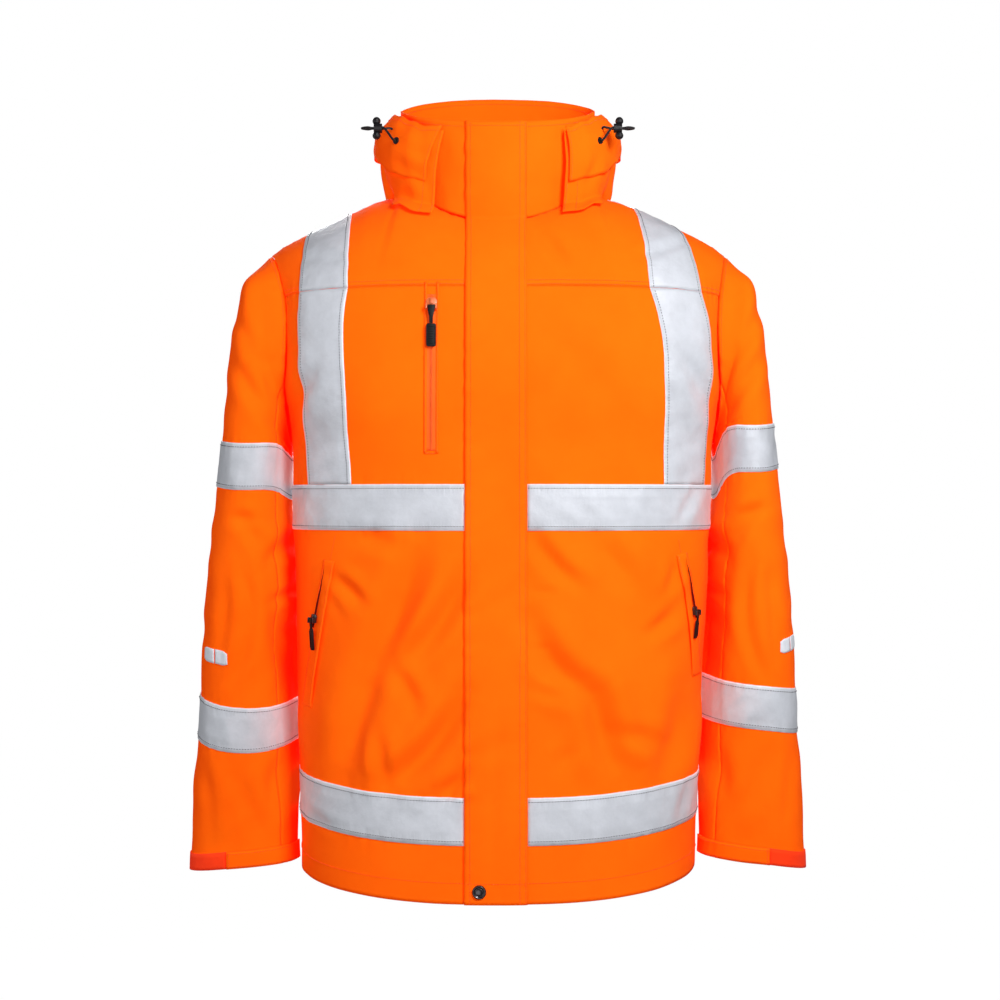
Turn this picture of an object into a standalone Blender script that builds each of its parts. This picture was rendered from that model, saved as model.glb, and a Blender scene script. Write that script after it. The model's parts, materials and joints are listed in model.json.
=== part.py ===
"""Hi-vis work jacket, filled out as worn, with its hood down.

Units are metres, +Z is up and the front faces -Y, so the wearer's right is at -X.  The origin
lies in the middle of the neck, level with the side-neck points.  Each cut piece of cloth is an
open grid of points, thickened to a thin wall.  Reflective tapes and trim are cut from the same
grids and moved out, so that they lie on the cloth.
"""
import math
from collections import namedtuple

import bmesh
import bpy
from mathutils import Matrix, Vector
from mathutils.bvhtree import BVHTree

# ---------------------------------------------------------------- driving dimensions
WALL = 0.0020            # shell cloth with its seam tape, taken as one wall
TAPE = 0.0010            # reflective tape
GAP = 0.0003             # clear distance between two pieces that are sewn together
TURNED_SEAM = 0.0008     # inset of each piece where the cloth turns at a seam
TRIM_GAP = 0.0010        # clear distance below trim that crosses the panel's facets
FLAP_STAND = 0.0036      # middle of the storm flap above the middle of the front
ZIP_HALF = 0.011         # half width of the front zip
FLAP_RIGHT = -0.035      # free edge of the storm flap
FLAP_LEFT = 0.031        # sewn edge of the storm flap
SHOULDER_X = 0.262       # shoulder point, where the sleeve cap begins
ARMHOLE_GAP = 0.0020     # from the panel's edge to the sleeve's, middle to middle, over the cap
UNDERARM_GAP = 0.0034    # the same below the arm, where the cloth turns sharply
BAND_START = 0.0015      # from the storm flap's edge to the end of a chest or hem tape
BRACE_END = 0.0006       # from a seam to the end of a shoulder tape
BRACE_TOP = 0.0010       # the same at the shoulder seam, where the tape turns over
COLLAR_SEAM = 0.0034     # from the neck seam to the collar's lower edge
ZIP_TOP = 0.0020         # from the neck seam to the top of the zip
SIDES = (("right", -1.0), ("left", 1.0))

# ---------------------------------------------------------------- tables
Ring = namedtuple("Ring", "name centre_x half_width side_z front_y front_z back_y back_z square")
TORSO = [Ring(*row) for row in (
    ("hem",             0.000, 0.2250, -0.763, -0.190, -0.775, 0.152, -0.770, 2.5),
    ("hem_band_low",    0.000, 0.2262, -0.702, -0.187, -0.714, 0.150, -0.708, 2.5),
    ("hem_band_high",   0.001, 0.2275, -0.652, -0.184, -0.664, 0.148, -0.658, 2.5),
    ("hip",             0.001, 0.2295, -0.606, -0.180, -0.612, 0.145, -0.609, 2.5),
    ("waist",           0.002, 0.2312, -0.555, -0.176, -0.558, 0.142, -0.557, 2.5),
    ("rib_low",         0.003, 0.2338, -0.499, -0.171, -0.501, 0.140, -0.500, 2.5),
    ("rib_high",        0.004, 0.2362, -0.440, -0.166, -0.441, 0.140, -0.441, 2.5),
    ("chest_band_low",  0.004, 0.2385, -0.383, -0.160, -0.383, 0.141, -0.383, 2.5),
    ("chest_band_high", 0.005, 0.2395, -0.333, -0.157, -0.333, 0.142, -0.333, 2.5),
    ("armpit",          0.005, 0.2405, -0.285, -0.154, -0.286, 0.143, -0.286, 2.6),
    ("arm_low",         0.005, 0.2450, -0.252, -0.152, -0.252, 0.143, -0.252, 2.9),
    ("arm_front",       0.005, 0.2490, -0.219, -0.149, -0.218, 0.142, -0.219, 3.1),
    ("arm_mid",         0.005, 0.2510, -0.186, -0.146, -0.184, 0.140, -0.186, 3.2),
    ("arm_high",        0.005, 0.2510, -0.153, -0.142, -0.150, 0.136, -0.153, 3.2),
    ("yoke",            0.005, 0.2500, -0.122, -0.137, -0.118, 0.130, -0.122, 3.2),
)]
# How far forward and back the armhole stands from the shoulder line, on the rows above the armpit.
Armhole = namedtuple("Armhole", "front_y back_y")
ARMHOLE = {
    "arm_low": Armhole(-0.048, 0.046), "arm_front": Armhole(-0.068, 0.064),
    "arm_mid": Armhole(-0.078, 0.072), "arm_high": Armhole(-0.077, 0.071),
    "yoke": Armhole(-0.066, 0.061),
}
NECK = Ring("neck", 0.0, 0.105, 0.004, -0.100, -0.042, 0.064, 0.014, 2.2)
COLLAR_TOP = Ring("collar_top", 0.0, 0.110, 0.101, -0.102, 0.066, 0.072, 0.131, 2.3)

# Edges of the shoulder tapes, as distances from the middle of the body.
Brace = namedtuple("Brace", "right_inner right_outer left_inner left_outer")
BRACE = {
    "chest_band_high": Brace(0.164, 0.215, 0.175, 0.225),
    "armpit": Brace(0.167, 0.218, 0.175, 0.227),
    "arm_low": Brace(0.168, 0.220, 0.176, 0.229),
    "arm_front": Brace(0.170, 0.222, 0.175, 0.230),
    "arm_mid": Brace(0.172, 0.223, 0.174, 0.230),
    "arm_high": Brace(0.172, 0.224, 0.169, 0.227),
    "yoke": Brace(0.168, 0.223, 0.160, 0.219),
    "shoulder": Brace(0.167, 0.218, 0.152, 0.203),
}
BACK_BRACE = Brace(0.115, 0.166, 0.115, 0.166)

# The slope of the shoulder and the outer outline of the sleeve, seen from the front.
OUTLINE = (
    (0.105, 0.004), (0.120, -0.001), (0.1415, -0.0066), (0.162, -0.016), (0.193, -0.030),
    (0.223, -0.044), (0.249, -0.058), (0.268, -0.072), (0.280, -0.0855), (0.290, -0.099),
    (0.2955, -0.115), (0.3035, -0.155), (0.3080, -0.190), (0.3115, -0.225), (0.3162, -0.280),
    (0.3214, -0.336), (0.3294, -0.392), (0.3350, -0.447), (0.3386, -0.503), (0.3433, -0.614),
    (0.3480, -0.670), (0.3508, -0.768),
)
INNER_LINE = (
    (0.2455, -0.285), (0.2450, -0.360), (0.2410, -0.450), (0.2380, -0.560), (0.2335, -0.700),
    (0.2300, -0.768),
)
Cuff = namedtuple(
    "Cuff", "name outer_z inner_z sag left_outer_z left_inner_z left_sag drop half_depth centre_y tuck")
SLEEVE = [Cuff(*row) for row in (
    ("cap_1",      -0.098, -0.2890,  0.000, -0.0980, -0.2890,  0.000,  2, 0.080,  0.000, 0.0),
    ("cap_2",      -0.130, -0.2912,  0.000, -0.1300, -0.2912,  0.000,  2, 0.086,  0.000, 0.0),
    ("cap_3",      -0.166, -0.2934,  0.000, -0.1630, -0.2934,  0.000,  2, 0.090,  0.000, 0.0),
    ("cap_4",      -0.204, -0.2956,  0.000, -0.1960, -0.2956,  0.000,  2, 0.091,  0.000, 0.0),
    ("cap_5",      -0.243, -0.2978,  0.000, -0.2290, -0.2978,  0.000,  2, 0.091, -0.001, 0.0),
    ("upper_top",  -0.282, -0.3000, -0.005, -0.2620, -0.3000, -0.005, 14, 0.090, -0.001, 0.0),
    ("upper_low",  -0.334, -0.3500, -0.005, -0.3130, -0.3490, -0.006, 10, 0.088, -0.002, 0.0),
    ("arm_1",      -0.392, -0.4000, -0.003, -0.3760, -0.3900, -0.003,  5, 0.085, -0.003, 0.0035),
    ("arm_2",      -0.452, -0.4560, -0.004, -0.4380, -0.4440, -0.001,  3, 0.082, -0.004, 0.0045),
    ("elbow",      -0.512, -0.5160, -0.007, -0.5020, -0.5000,  0.002,  2, 0.079, -0.006, 0.0055),
    ("lower_top",  -0.570, -0.5786, -0.009, -0.5635, -0.5505,  0.004,  2, 0.074, -0.009, 0.0055),
    ("lower_low",  -0.620, -0.6260, -0.010, -0.6145, -0.6000,  0.005,  2, 0.068, -0.013, 0.0055),
    ("forearm",    -0.681, -0.6790,  0.000, -0.6780, -0.6660,  0.006,  2, 0.059, -0.018, 0.0055),
    ("cuff_seam",  -0.745, -0.7325,  0.005, -0.7430, -0.7262,  0.007,  2, 0.049, -0.023, 0.0030),
    ("cuff",       -0.770, -0.7580,  0.005, -0.7680, -0.7517,  0.007,  2, 0.045, -0.025, 0.0020),
)]
SLEEVE_SQUARE = 2.3
TUCK_AT = math.radians(210.0)      # where the sleeve is pressed in behind the body's side
TUCK_POWER = 8

# The hood lies round the collar.  Each column of it is a profile of points given by how far they
# stand out from the collar and by their height, from the neck seam to the rim.
Profile = namedtuple("Profile", "angle seam_out seam_z low_out low_z belly_out belly_z rim_out rim_z")
HOOD = [Profile(*row) for row in (
    (27.0,  0.007, -0.046, 0.009, -0.018, 0.011, 0.020, 0.008, 0.058),
    (37.0,  0.008, -0.047, 0.011, -0.018, 0.013, 0.018, 0.010, 0.058),
    (48.0,  0.020, -0.042, 0.020, -0.022, 0.020, 0.014, 0.015, 0.058),
    (60.0,  0.024, -0.026, 0.024, -0.010, 0.023, 0.020, 0.018, 0.060),
    (74.0,  0.014, -0.006, 0.020, 0.004, 0.022, 0.026, 0.021, 0.058),
    (90.0,  0.011, 0.008, 0.017, 0.020, 0.021, 0.036, 0.024, 0.056),
    (112.0, 0.014, 0.020, 0.026, -0.010, 0.038, 0.004, 0.036, 0.056),
    (136.0, 0.016, 0.030, 0.050, -0.066, 0.080, -0.062, 0.054, 0.058),
    (160.0, 0.017, 0.034, 0.055, -0.094, 0.092, -0.092, 0.062, 0.060),
    (180.0, 0.017, 0.035, 0.056, -0.100, 0.096, -0.098, 0.065, 0.061),
)]
Brim = namedtuple("Brim", "angle edge_out edge_z crest_out crest_z inner_out inner_z")
BRIM = [Brim(*row) for row in (
    (27.0,  0.0140, 0.000, 0.0145, 0.036, 0.0120, 0.062),
    (37.0,  0.0168, 0.002, 0.0170, 0.038, 0.0134, 0.063),
    (48.0,  0.0240, 0.008, 0.0230, 0.048, 0.0140, 0.072),
    (60.0,  0.029, 0.016, 0.026, 0.059, 0.013, 0.081),
    (74.0,  0.032, 0.033, 0.028, 0.066, 0.012, 0.088),
    (90.0,  0.033, 0.051, 0.029, 0.071, 0.011, 0.092),
    (112.0, 0.045, 0.050, 0.041, 0.074, 0.012, 0.096),
    (136.0, 0.076, 0.046, 0.064, 0.080, 0.015, 0.100),
    (160.0, 0.089, 0.042, 0.075, 0.086, 0.017, 0.104),
    (180.0, 0.093, 0.040, 0.079, 0.088, 0.017, 0.106),
)]

# ---------------------------------------------------------------- colours
ORANGE = ((0.95, 0.13, 0.006), 0.75, 0.0)
ZIP_ORANGE = ((0.90, 0.17, 0.03), 0.6, 0.0)
PINK_ORANGE = ((0.90, 0.10, 0.03), 0.9, 0.0)
SILVER = ((0.62, 0.64, 0.66), 0.45, 0.1)
BLACK = ((0.012, 0.010, 0.012), 0.5, 0.0)


def material(name, look):
    """Makes, or finds, one plain material."""
    found = bpy.data.materials.get(name)
    if found:
        return found
    colour, roughness, metallic = look
    made = bpy.data.materials.new(name)
    made.use_nodes = True
    shader = made.node_tree.nodes["Principled BSDF"]
    shader.inputs["Base Color"].default_value = (*colour, 1.0)
    shader.inputs["Roughness"].default_value = roughness
    shader.inputs["Metallic"].default_value = metallic
    return made


def interpolate(pairs, z):
    """Reads x at a height from an outline that runs downwards."""
    for (x_high, z_high), (x_low, z_low) in zip(pairs, pairs[1:]):
        if z >= z_low:
            part = (z - z_high) / (z_low - z_high)
            return x_high + part * (x_low - x_high)
    return pairs[-1][0]


def shoulder_z(x):
    """Height of the shoulder seam at a distance from the neck."""
    for (x_near, z_near), (x_far, z_far) in zip(OUTLINE, OUTLINE[1:]):
        if x <= x_far:
            return z_near + (x - x_near) / (x_far - x_near) * (z_far - z_near)
    return OUTLINE[-1][1]


def power(value, exponent):
    """A power that keeps the sign, for the rounded-square rings."""
    return math.copysign(abs(value) ** exponent, value)


def ring_point(ring, angle, crown=2.0):
    """A point on a ring: 0 is the middle of the front and 90 degrees the wearer's left side."""
    sine, cosine = math.sin(angle), math.cos(angle)
    bend = 2.0 / ring.square
    depth, end_z = (ring.front_y, ring.front_z) if cosine > 0 else (ring.back_y, ring.back_z)
    return Vector((
        ring.centre_x + ring.half_width * power(sine, bend),
        depth * abs(cosine) ** bend,
        ring.side_z + (end_z - ring.side_z) * abs(cosine) ** crown,
    ))


def angle_at(ring, distance):
    """The angle at which a ring's front is this far from its middle."""
    return math.asin(min(1.0, (distance / ring.half_width)) ** (ring.square / 2.0))


def blend_rings(low, high, part, swell=0.0):
    """A ring between two rings, with its sides moved out by swell."""
    mixed = [a + (b - a) * part for a, b in zip(low[1:], high[1:])]
    mixed[1] += swell
    mixed[3] -= swell
    mixed[5] += swell
    return Ring("between", *mixed)


def spread(start, end, count):
    """The values after start, up to end, in equal steps."""
    return [start + (end - start) * (k + 1) / count for k in range(count)]


def brace_edges(row_name, side_name):
    """The two edges of a front shoulder tape on one row, inner edge first."""
    brace = BRACE.get(row_name, BRACE["chest_band_high"])
    return (brace.right_inner, brace.right_outer) if side_name == "right" else (
        brace.left_inner, brace.left_outer)


FLAP_COL, BRACE_IN, BRACE_OUT, FRONT_EDGE = 1, 5, 7, 11
BACK_IN, BACK_OUT, BACK_EDGE = 4, 6, 10


def armhole_angle(ring, y, depth):
    """The angle from the front or back at which a ring reaches the armhole."""
    return math.acos((y / depth) ** (ring.square / 2.0))


def front_angles(ring, side_name, side):
    """Angles of the front's columns, from the zip to the side seam or armhole."""
    flap = abs((FLAP_RIGHT if side < 0 else FLAP_LEFT) - ring.centre_x)
    inner, outer = brace_edges(ring.name, side_name)
    start = angle_at(ring, ZIP_HALF - side * ring.centre_x)
    marks = [angle_at(ring, d) for d in (flap, inner, outer)]
    edge = math.pi / 2
    if ring.name in ARMHOLE:
        edge = armhole_angle(ring, ARMHOLE[ring.name].front_y, ring.front_y)
    angles = [start, marks[0]]
    angles += spread(marks[0], marks[1], 4)
    angles += spread(marks[1], marks[2], 2)
    angles += spread(marks[2], edge, 4)
    return [side * angle for angle in angles]


def back_angles(ring, side_name, side):
    """Angles of the back's columns, from the middle of the back to the side seam or armhole."""
    inner, outer = (angle_at(ring, d) for d in (BACK_BRACE.right_inner, BACK_BRACE.right_outer))
    edge = math.pi / 2
    if ring.name in ARMHOLE:
        edge = armhole_angle(ring, ARMHOLE[ring.name].back_y, ring.back_y)
    angles = [0.0] + spread(0.0, inner, 4) + spread(inner, outer, 2) + spread(outer, edge, 4)
    return [side * (math.pi - angle) for angle in angles]


def torso_grid(angles_of, side_name, side):
    """Rows of points from the hem to the yoke seam on one side."""
    return [[ring_point(ring, a) for a in angles_of(ring, side_name, side)] for ring in TORSO]


NECK_STEP = (32.0, 61.0, 90.0)
BACK_NECK_STEP = (180.0, 150.0, 120.0, 90.0)
YOKE_ROWS = 4


def seam_top(side_name, side, front):
    """The top ends of a yoke's columns: along the neck, and then along the shoulder seam."""
    seam_y = -0.0005 if front else 0.0005
    if front:
        flap = abs(FLAP_RIGHT if side < 0 else FLAP_LEFT)
        angles = [angle_at(NECK, ZIP_HALF), angle_at(NECK, flap)]
        angles += [math.radians(a) for a in NECK_STEP]
        inner, outer = brace_edges("shoulder", side_name)
    else:
        angles = [math.radians(a) for a in BACK_NECK_STEP]
        inner, outer = BACK_BRACE.right_inner + 0.012, BACK_BRACE.right_outer + 0.012
    top = [ring_point(NECK, side * angle) for angle in angles]
    top[-1].y = seam_y
    for x in [inner] + spread(inner, outer, 2) + spread(outer, SHOULDER_X, 4):
        top.append(Vector((side * x, seam_y, shoulder_z(x))))
    return top


def yoke_grid(seam_row, side_name, side, front):
    """Rows of points over the shoulder, curved between the yoke seam and the top seams."""
    top = seam_top(side_name, side, front)
    corner = len(NECK_STEP) + 1 if front else len(BACK_NECK_STEP) - 1
    rows = []
    for step in range(YOKE_ROWS + 1):
        r = step / YOKE_ROWS
        row = []
        for k, (low, high) in enumerate(zip(seam_row, top)):
            turn = min(1.0, k / corner)
            pull_y, pull_z = 0.40 - 0.20 * turn, 0.60 + 0.24 * turn
            middle = Vector((
                (low.x + high.x) / 2,
                low.y + (high.y - low.y) * pull_y,
                low.z + (high.z - low.z) * pull_z,
            ))
            row.append((1 - r) ** 2 * low + 2 * r * (1 - r) * middle + r * r * high)
        rows.append(row)
    return rows


# ---------------------------------------------------------------- grids and cloth
def grid_normals(rows, closed=False):
    """Unit normals of a grid, from its neighbours; out is right-hand of column by row."""
    last_row, last_col = len(rows) - 1, len(rows[0]) - 1
    normals = []
    for i, row in enumerate(rows):
        line = []
        for j in range(len(row)):
            after = (j + 1) % len(row) if closed else min(j + 1, last_col)
            before = (j - 1) % len(row) if closed else max(j - 1, 0)
            along = row[after] - row[before]
            up = rows[min(i + 1, last_row)][j] - rows[max(i - 1, 0)][j]
            line.append(along.cross(up).normalized())
        normals.append(line)
    return normals


def moved_out(rows, distance, closed=False, flip=False):
    """The grid moved along its normals."""
    sign = -distance if flip else distance
    normals = grid_normals(rows, closed)
    return [[p + n * sign for p, n in zip(row, line)] for row, line in zip(rows, normals)]


def inset(rows, low=0.0, high=0.0, start=0.0, end=0.0):
    """Moves a grid's border in by these distances, along its own facets."""
    rows = [[p.copy() for p in row] for row in rows]

    def pull(point, inner, distance):
        return point + (inner - point).normalized() * distance

    if low:
        rows[0] = [pull(a, b, low) for a, b in zip(rows[0], rows[1])]
    if high:
        rows[-1] = [pull(a, b, high) for a, b in zip(rows[-1], rows[-2])]
    for row in rows:
        if start:
            row[0] = pull(row[0], row[1], start)
        if end:
            row[-1] = pull(row[-1], row[-2], end)
    return rows


def part_of(rows, row_span, col_span):
    """The block of a grid between two rows and two columns, both kept."""
    return [row[col_span[0]:col_span[1] + 1] for row in rows[row_span[0]:row_span[1] + 1]]


def link(obj, look_name, look):
    """Puts an object in the jacket's collection and gives it its material."""
    obj.data.materials.append(material(look_name, look))
    jacket.objects.link(obj)
    return obj


def sheet(name, rows, thickness, look_name, look, closed=False, outward=1.0):
    """One piece of cloth or tape: the grid in triangles, thickened evenly to both sides."""
    width = len(rows[0])
    mesh = bpy.data.meshes.new(name)
    faces = []
    for i in range(len(rows) - 1):
        for j in range(width if closed else width - 1):
            a, b = i * width + j, i * width + (j + 1) % width
            c, d = b + width, a + width
            faces += [(a, b, c), (a, c, d)]
    if outward < 0:
        faces = [face[::-1] for face in faces]
    mesh.from_pydata([p for row in rows for p in row], [], faces)
    obj = link(bpy.data.objects.new(name, mesh), look_name, look)
    wall = obj.modifiers.new("wall", "SOLIDIFY")
    wall.thickness = thickness
    wall.offset = 0.0
    return obj


TAPE_RISE = WALL / 2 + GAP + TAPE / 2


def tape(name, rows, side, closed=False):
    """Reflective tape on a block of a panel's grid."""
    lifted = moved_out(rows, TAPE_RISE, closed, flip=side < 0)
    return sheet(name, lifted, TAPE, "reflective_tape", SILVER, closed, side)


# ---------------------------------------------------------------- body
def row_index(name):
    """The number of a torso row."""
    return next(k for k, ring in enumerate(TORSO) if ring.name == name)


def make_panel(name, rows, outward, low=0.0, high=0.0, start=0.0, end=0.0):
    """A shell panel with its seam gaps."""
    cut = inset(rows, low, high, start, end)
    return sheet(name, cut, WALL, "orange_shell", ORANGE, False, outward)


def make_fronts():
    """The two fronts with their yokes, and the tapes on them."""
    chest_low, chest_high = row_index("chest_band_low"), row_index("chest_band_high")
    hem_low, hem_high = row_index("hem_band_low"), row_index("hem_band_high")
    grids = {}
    for side_name, side in SIDES:
        front = torso_grid(front_angles, side_name, side)
        yoke = yoke_grid(front[-1], side_name, side, True)
        grids[side_name] = (front, yoke)
        make_panel(f"front_{side_name}", front, side, high=GAP, start=GAP / 2, end=GAP / 2)
        make_panel(f"yoke_front_{side_name}", yoke, side, low=GAP, start=GAP / 2)
        for band, low, high in (("hem_band", hem_low, hem_high), ("chest_band", chest_low, chest_high)):
            block = inset(part_of(front, (low, high), (FLAP_COL, FRONT_EDGE)), start=BAND_START, end=GAP)
            tape(f"{band}_{side_name}", block, side)
        last = len(TORSO) - 1
        brace = part_of(front, (chest_high, last), (BRACE_IN, BRACE_OUT))
        tape(f"brace_front_{side_name}", inset(brace, low=BRACE_END, high=BRACE_END), side)
        brace = part_of(yoke, (0, YOKE_ROWS), (BRACE_IN, BRACE_OUT))
        tape(f"brace_yoke_{side_name}", inset(brace, low=BRACE_END, high=BRACE_TOP), side)
    return grids


def join_sides(right, left):
    """One grid across the middle of the back, from the wearer's right edge to the left edge."""
    return [r[::-1] + l[1:] for r, l in zip(right, left)]


def make_back():
    """The back, its yoke, and the tapes on them."""
    right = torso_grid(back_angles, "right", -1.0)
    left = torso_grid(back_angles, "left", 1.0)
    yoke_right = yoke_grid(right[-1], "right", -1.0, False)
    yoke_left = yoke_grid(left[-1], "left", 1.0, False)
    back, yoke = join_sides(right, left), join_sides(yoke_right, yoke_left)
    make_panel("back", back, -1.0, high=GAP, start=GAP / 2, end=GAP / 2)
    make_panel("yoke_back", yoke, -1.0, low=GAP)
    for band in ("hem_band", "chest_band"):
        low, high = row_index(f"{band}_low"), row_index(f"{band}_high")
        block = inset(part_of(back, (low, high), (0, 2 * BACK_EDGE)), start=GAP, end=GAP)
        tape(f"{band}_back", block, -1.0)
    chest_high = row_index("chest_band_high")
    for side_name, span in (("right", (BACK_EDGE - BACK_OUT, BACK_EDGE - BACK_IN)),
                            ("left", (BACK_EDGE + BACK_IN, BACK_EDGE + BACK_OUT))):
        brace = part_of(back, (chest_high, len(TORSO) - 1), span)
        tape(f"brace_back_{side_name}", inset(brace, low=BRACE_END, high=BRACE_END), -1.0)
        brace = part_of(yoke, (0, YOKE_ROWS), span)
        tape(f"brace_back_yoke_{side_name}", inset(brace, low=BRACE_END, high=BRACE_TOP), -1.0)
    return back, yoke, ((right, yoke_right), (left, yoke_left))


def centre_rows(fronts, first, last):
    """Rows across the middle of the front, between a column of each side."""
    rows = []
    for part in (0, 1):
        right, left = fronts["right"][part], fronts["left"][part]
        for k in range(0 if part == 0 else 1, len(right)):
            rows.append([right[k][c] for c in range(last, first - 1, -1)]
                        + [left[k][c] for c in range(first, last + 1)])
    return rows


COLLAR_STEPS = 4
COLLAR_COLUMNS = 28


def collar_ring(part):
    """A ring of the collar: part is 0 at the neck seam and 1 at the top."""
    return blend_rings(NECK, COLLAR_TOP, part, swell=0.003 * math.sin(math.pi * part))


def collar_point(part, angle):
    """A point of the collar, whose upper edge is flatter than its seam."""
    return ring_point(collar_ring(part), angle, 2.0 - part)


def make_centre(fronts):
    """The front zip, and the storm flap that covers it up to the top of the collar."""
    zip_rows = inset(centre_rows(fronts, 0, 0), high=ZIP_TOP, start=GAP / 2, end=GAP / 2)
    sheet("front_zip", zip_rows, WALL, "front_zip", ZIP_ORANGE)
    rows = centre_rows(fronts, 0, FLAP_COL)
    for step in range(1, COLLAR_STEPS + 1):
        part = step / COLLAR_STEPS
        ring = collar_ring(part)
        rows.append([collar_point(part, math.copysign(angle_at(ring, abs(x)), x))
                     for x in (FLAP_RIGHT, -ZIP_HALF, ZIP_HALF, FLAP_LEFT)])
    flap = moved_out(rows, FLAP_STAND)
    sheet("storm_flap", flap, WALL, "orange_shell", ORANGE)
    return flap


def make_collar():
    """The stand collar, from one side of the zip round the back to the other."""
    rows = []
    for step in range(COLLAR_STEPS + 1):
        part = step / COLLAR_STEPS
        edge = angle_at(collar_ring(part), ZIP_HALF)
        angles = [edge] + spread(edge, 2 * math.pi - edge, COLLAR_COLUMNS)
        rows.append([collar_point(part, a) for a in angles])
    cut = inset(rows, low=COLLAR_SEAM, start=GAP, end=GAP)
    sheet("collar", cut, WALL, "orange_shell", ORANGE)


# ---------------------------------------------------------------- sleeves
def centre_shift(z):
    """Sideways shift of the body's middle at a height."""
    for low, high in zip(TORSO, TORSO[1:]):
        if z <= high.side_z:
            part = max(0.0, (z - low.side_z) / (high.side_z - low.side_z))
            return low.centre_x + part * (high.centre_x - low.centre_x)
    return TORSO[-1].centre_x


def sleeve_ring(cuff, side, columns):
    """Points round the sleeve: 0 is the outer edge, and the front comes next."""
    outer_z, inner_z, sag = cuff[4:7] if side > 0 else cuff[1:4]
    outer_x = side * interpolate(OUTLINE, outer_z)
    inner_x = side * interpolate(INNER_LINE, inner_z) + centre_shift(inner_z)
    bend = 2.0 / SLEEVE_SQUARE
    points = []
    for k in range(columns):
        angle = 2 * math.pi * k / columns
        cosine, sine = power(math.cos(angle), bend), power(math.sin(angle), bend)
        drop = ((1 - math.cos(angle)) / 2) ** cuff.drop
        tuck = cuff.tuck * max(0.0, math.cos(angle - TUCK_AT)) ** TUCK_POWER
        points.append(Vector((
            (outer_x + inner_x) / 2 + (outer_x - inner_x) / 2 * cosine - side * tuck,
            cuff.centre_y - cuff.half_depth * sine,
            outer_z + (inner_z - outer_z) * drop + sag * math.sin(angle) ** 2,
        )))
    return points


def sleeve_grid(side, front, yoke, back, back_yoke):
    """Rows of a sleeve from the armhole to the cuff."""
    armpit = row_index("armpit")
    loop = [row[-1] for row in yoke[::-1]] + [row[-1] for row in front[armpit:-1][::-1]]
    loop += [row[-1] for row in back[armpit + 1:]] + [row[-1] for row in back_yoke[1:-1]]
    rings = [sleeve_ring(cuff, side, len(loop)) for cuff in SLEEVE]
    fan = sleeve_row("upper_top") - 1
    first = []
    for k, seam in enumerate(loop):
        under = ((1 - math.cos(2 * math.pi * k / len(loop))) / 2) ** 2
        for step, ring in enumerate(rings[:fan]):
            part = (step + 1) / (fan + 1)
            even = seam.lerp(rings[fan][k], part)
            ring[k].y += (even.y - ring[k].y) * (1 - part)
            ring[k].z += (even.z - ring[k].z) * under
        away = (rings[0][k] - seam).normalized() * ARMHOLE_GAP
        first.append(seam + away * (1 - under) + Vector((side * UNDERARM_GAP * under, 0.0, 0.0)))
    return [first] + rings


def turn_columns(rows, first, count):
    """The block of a closed grid that starts at one column and runs round past the last."""
    width = len(rows[0])
    return [[row[(first + k) % width] for k in range(count + 1)] for row in rows]


def sleeve_row(name):
    """The number of a sleeve's row, counting the armhole as 0."""
    return 1 + next(k for k, cuff in enumerate(SLEEVE) if cuff.name == name)


def make_sleeves(fronts, backs):
    """Both sleeves, each with an upper and an under piece, tapes, and the cuff's fastening."""
    grids = {}
    for (side_name, side), (back, back_yoke) in zip(SIDES, backs):
        front, yoke = fronts[side_name]
        grid = sleeve_grid(side, front, yoke, back, back_yoke)
        grids[side_name] = grid
        upper, under = turn_columns(grid, -7, 14), turn_columns(grid, 7, 4)
        for piece, block in (("upper", upper), ("under", under)):
            cut = inset(block, start=TURNED_SEAM, end=TURNED_SEAM)
            sheet(f"sleeve_{piece}_{side_name}", cut, WALL, "orange_shell", ORANGE, False, side)
        for band in ("upper", "lower"):
            block = grid[sleeve_row(f"{band}_top"):sleeve_row(f"{band}_low") + 1]
            tape(f"sleeve_{band}_band_{side_name}", block, side, True)
        end = grid[sleeve_row("cuff_seam"):]
        low, high = end[1], end[0]
        strip_rows = [[a + (b - a) * part for a, b in zip(high, low)] for part in (0.22, 0.60, 0.97)]
        strap = moved_out(turn_columns(strip_rows, 0, 4), TAPE_RISE, flip=side < 0)
        sheet(f"cuff_strip_{side_name}", inset(strap, end=GAP), TAPE, "hook_strip", PINK_ORANGE, False, side)
        strap = moved_out(turn_columns(strip_rows, 4, 5), WALL + GAP, flip=side < 0)
        sheet(f"cuff_tab_{side_name}", inset(strap, start=GAP), WALL, "orange_shell", ORANGE, False, side)
    return grids


# ---------------------------------------------------------------- hood
HOOD_CLEAR = 0.0070      # middle of the hood's cloth above the middle of the cloth that it lies on
HOOD_SEAM = 0.0018       # inset at the hood's seams, where its cloth turns most
HOOD_ROWS, BRIM_ROWS = 9, 6
SIDE_COLUMNS, BEHIND_COLUMNS, BRIM_COLUMNS = 13, 6, 17
HOOD_FRONT = {"right": (38.5, 27.5), "left": (37.5, 35.0)}      # front edge, at its foot and its top
HOOD_SPLIT = 128.0       # angle of the seams between the hood's sides and its centre panel


def surface_tree(blocks):
    """A search tree over grids of points, given with the sign that turns their normals out."""
    points, faces = [], []
    for rows, outward in blocks:
        base, width = len(points), len(rows[0])
        points += [p for row in rows for p in row]
        for i in range(len(rows) - 1):
            for j in range(width - 1):
                a = base + i * width + j
                pair = [(a, a + 1, a + width + 1), (a, a + width + 1, a + width)]
                faces += pair if outward > 0 else [face[::-1] for face in pair]
    return BVHTree.FromPolygons(points, faces)


def lifted_clear(point, tree, clear):
    """The point, moved out where it is nearer than clear to a surface or behind it."""
    place, normal, _, _ = tree.find_nearest(point)
    short = clear - (point - place).dot(normal)
    return point + normal * short if short > 0 and (point - place).length < 0.05 else point


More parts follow.
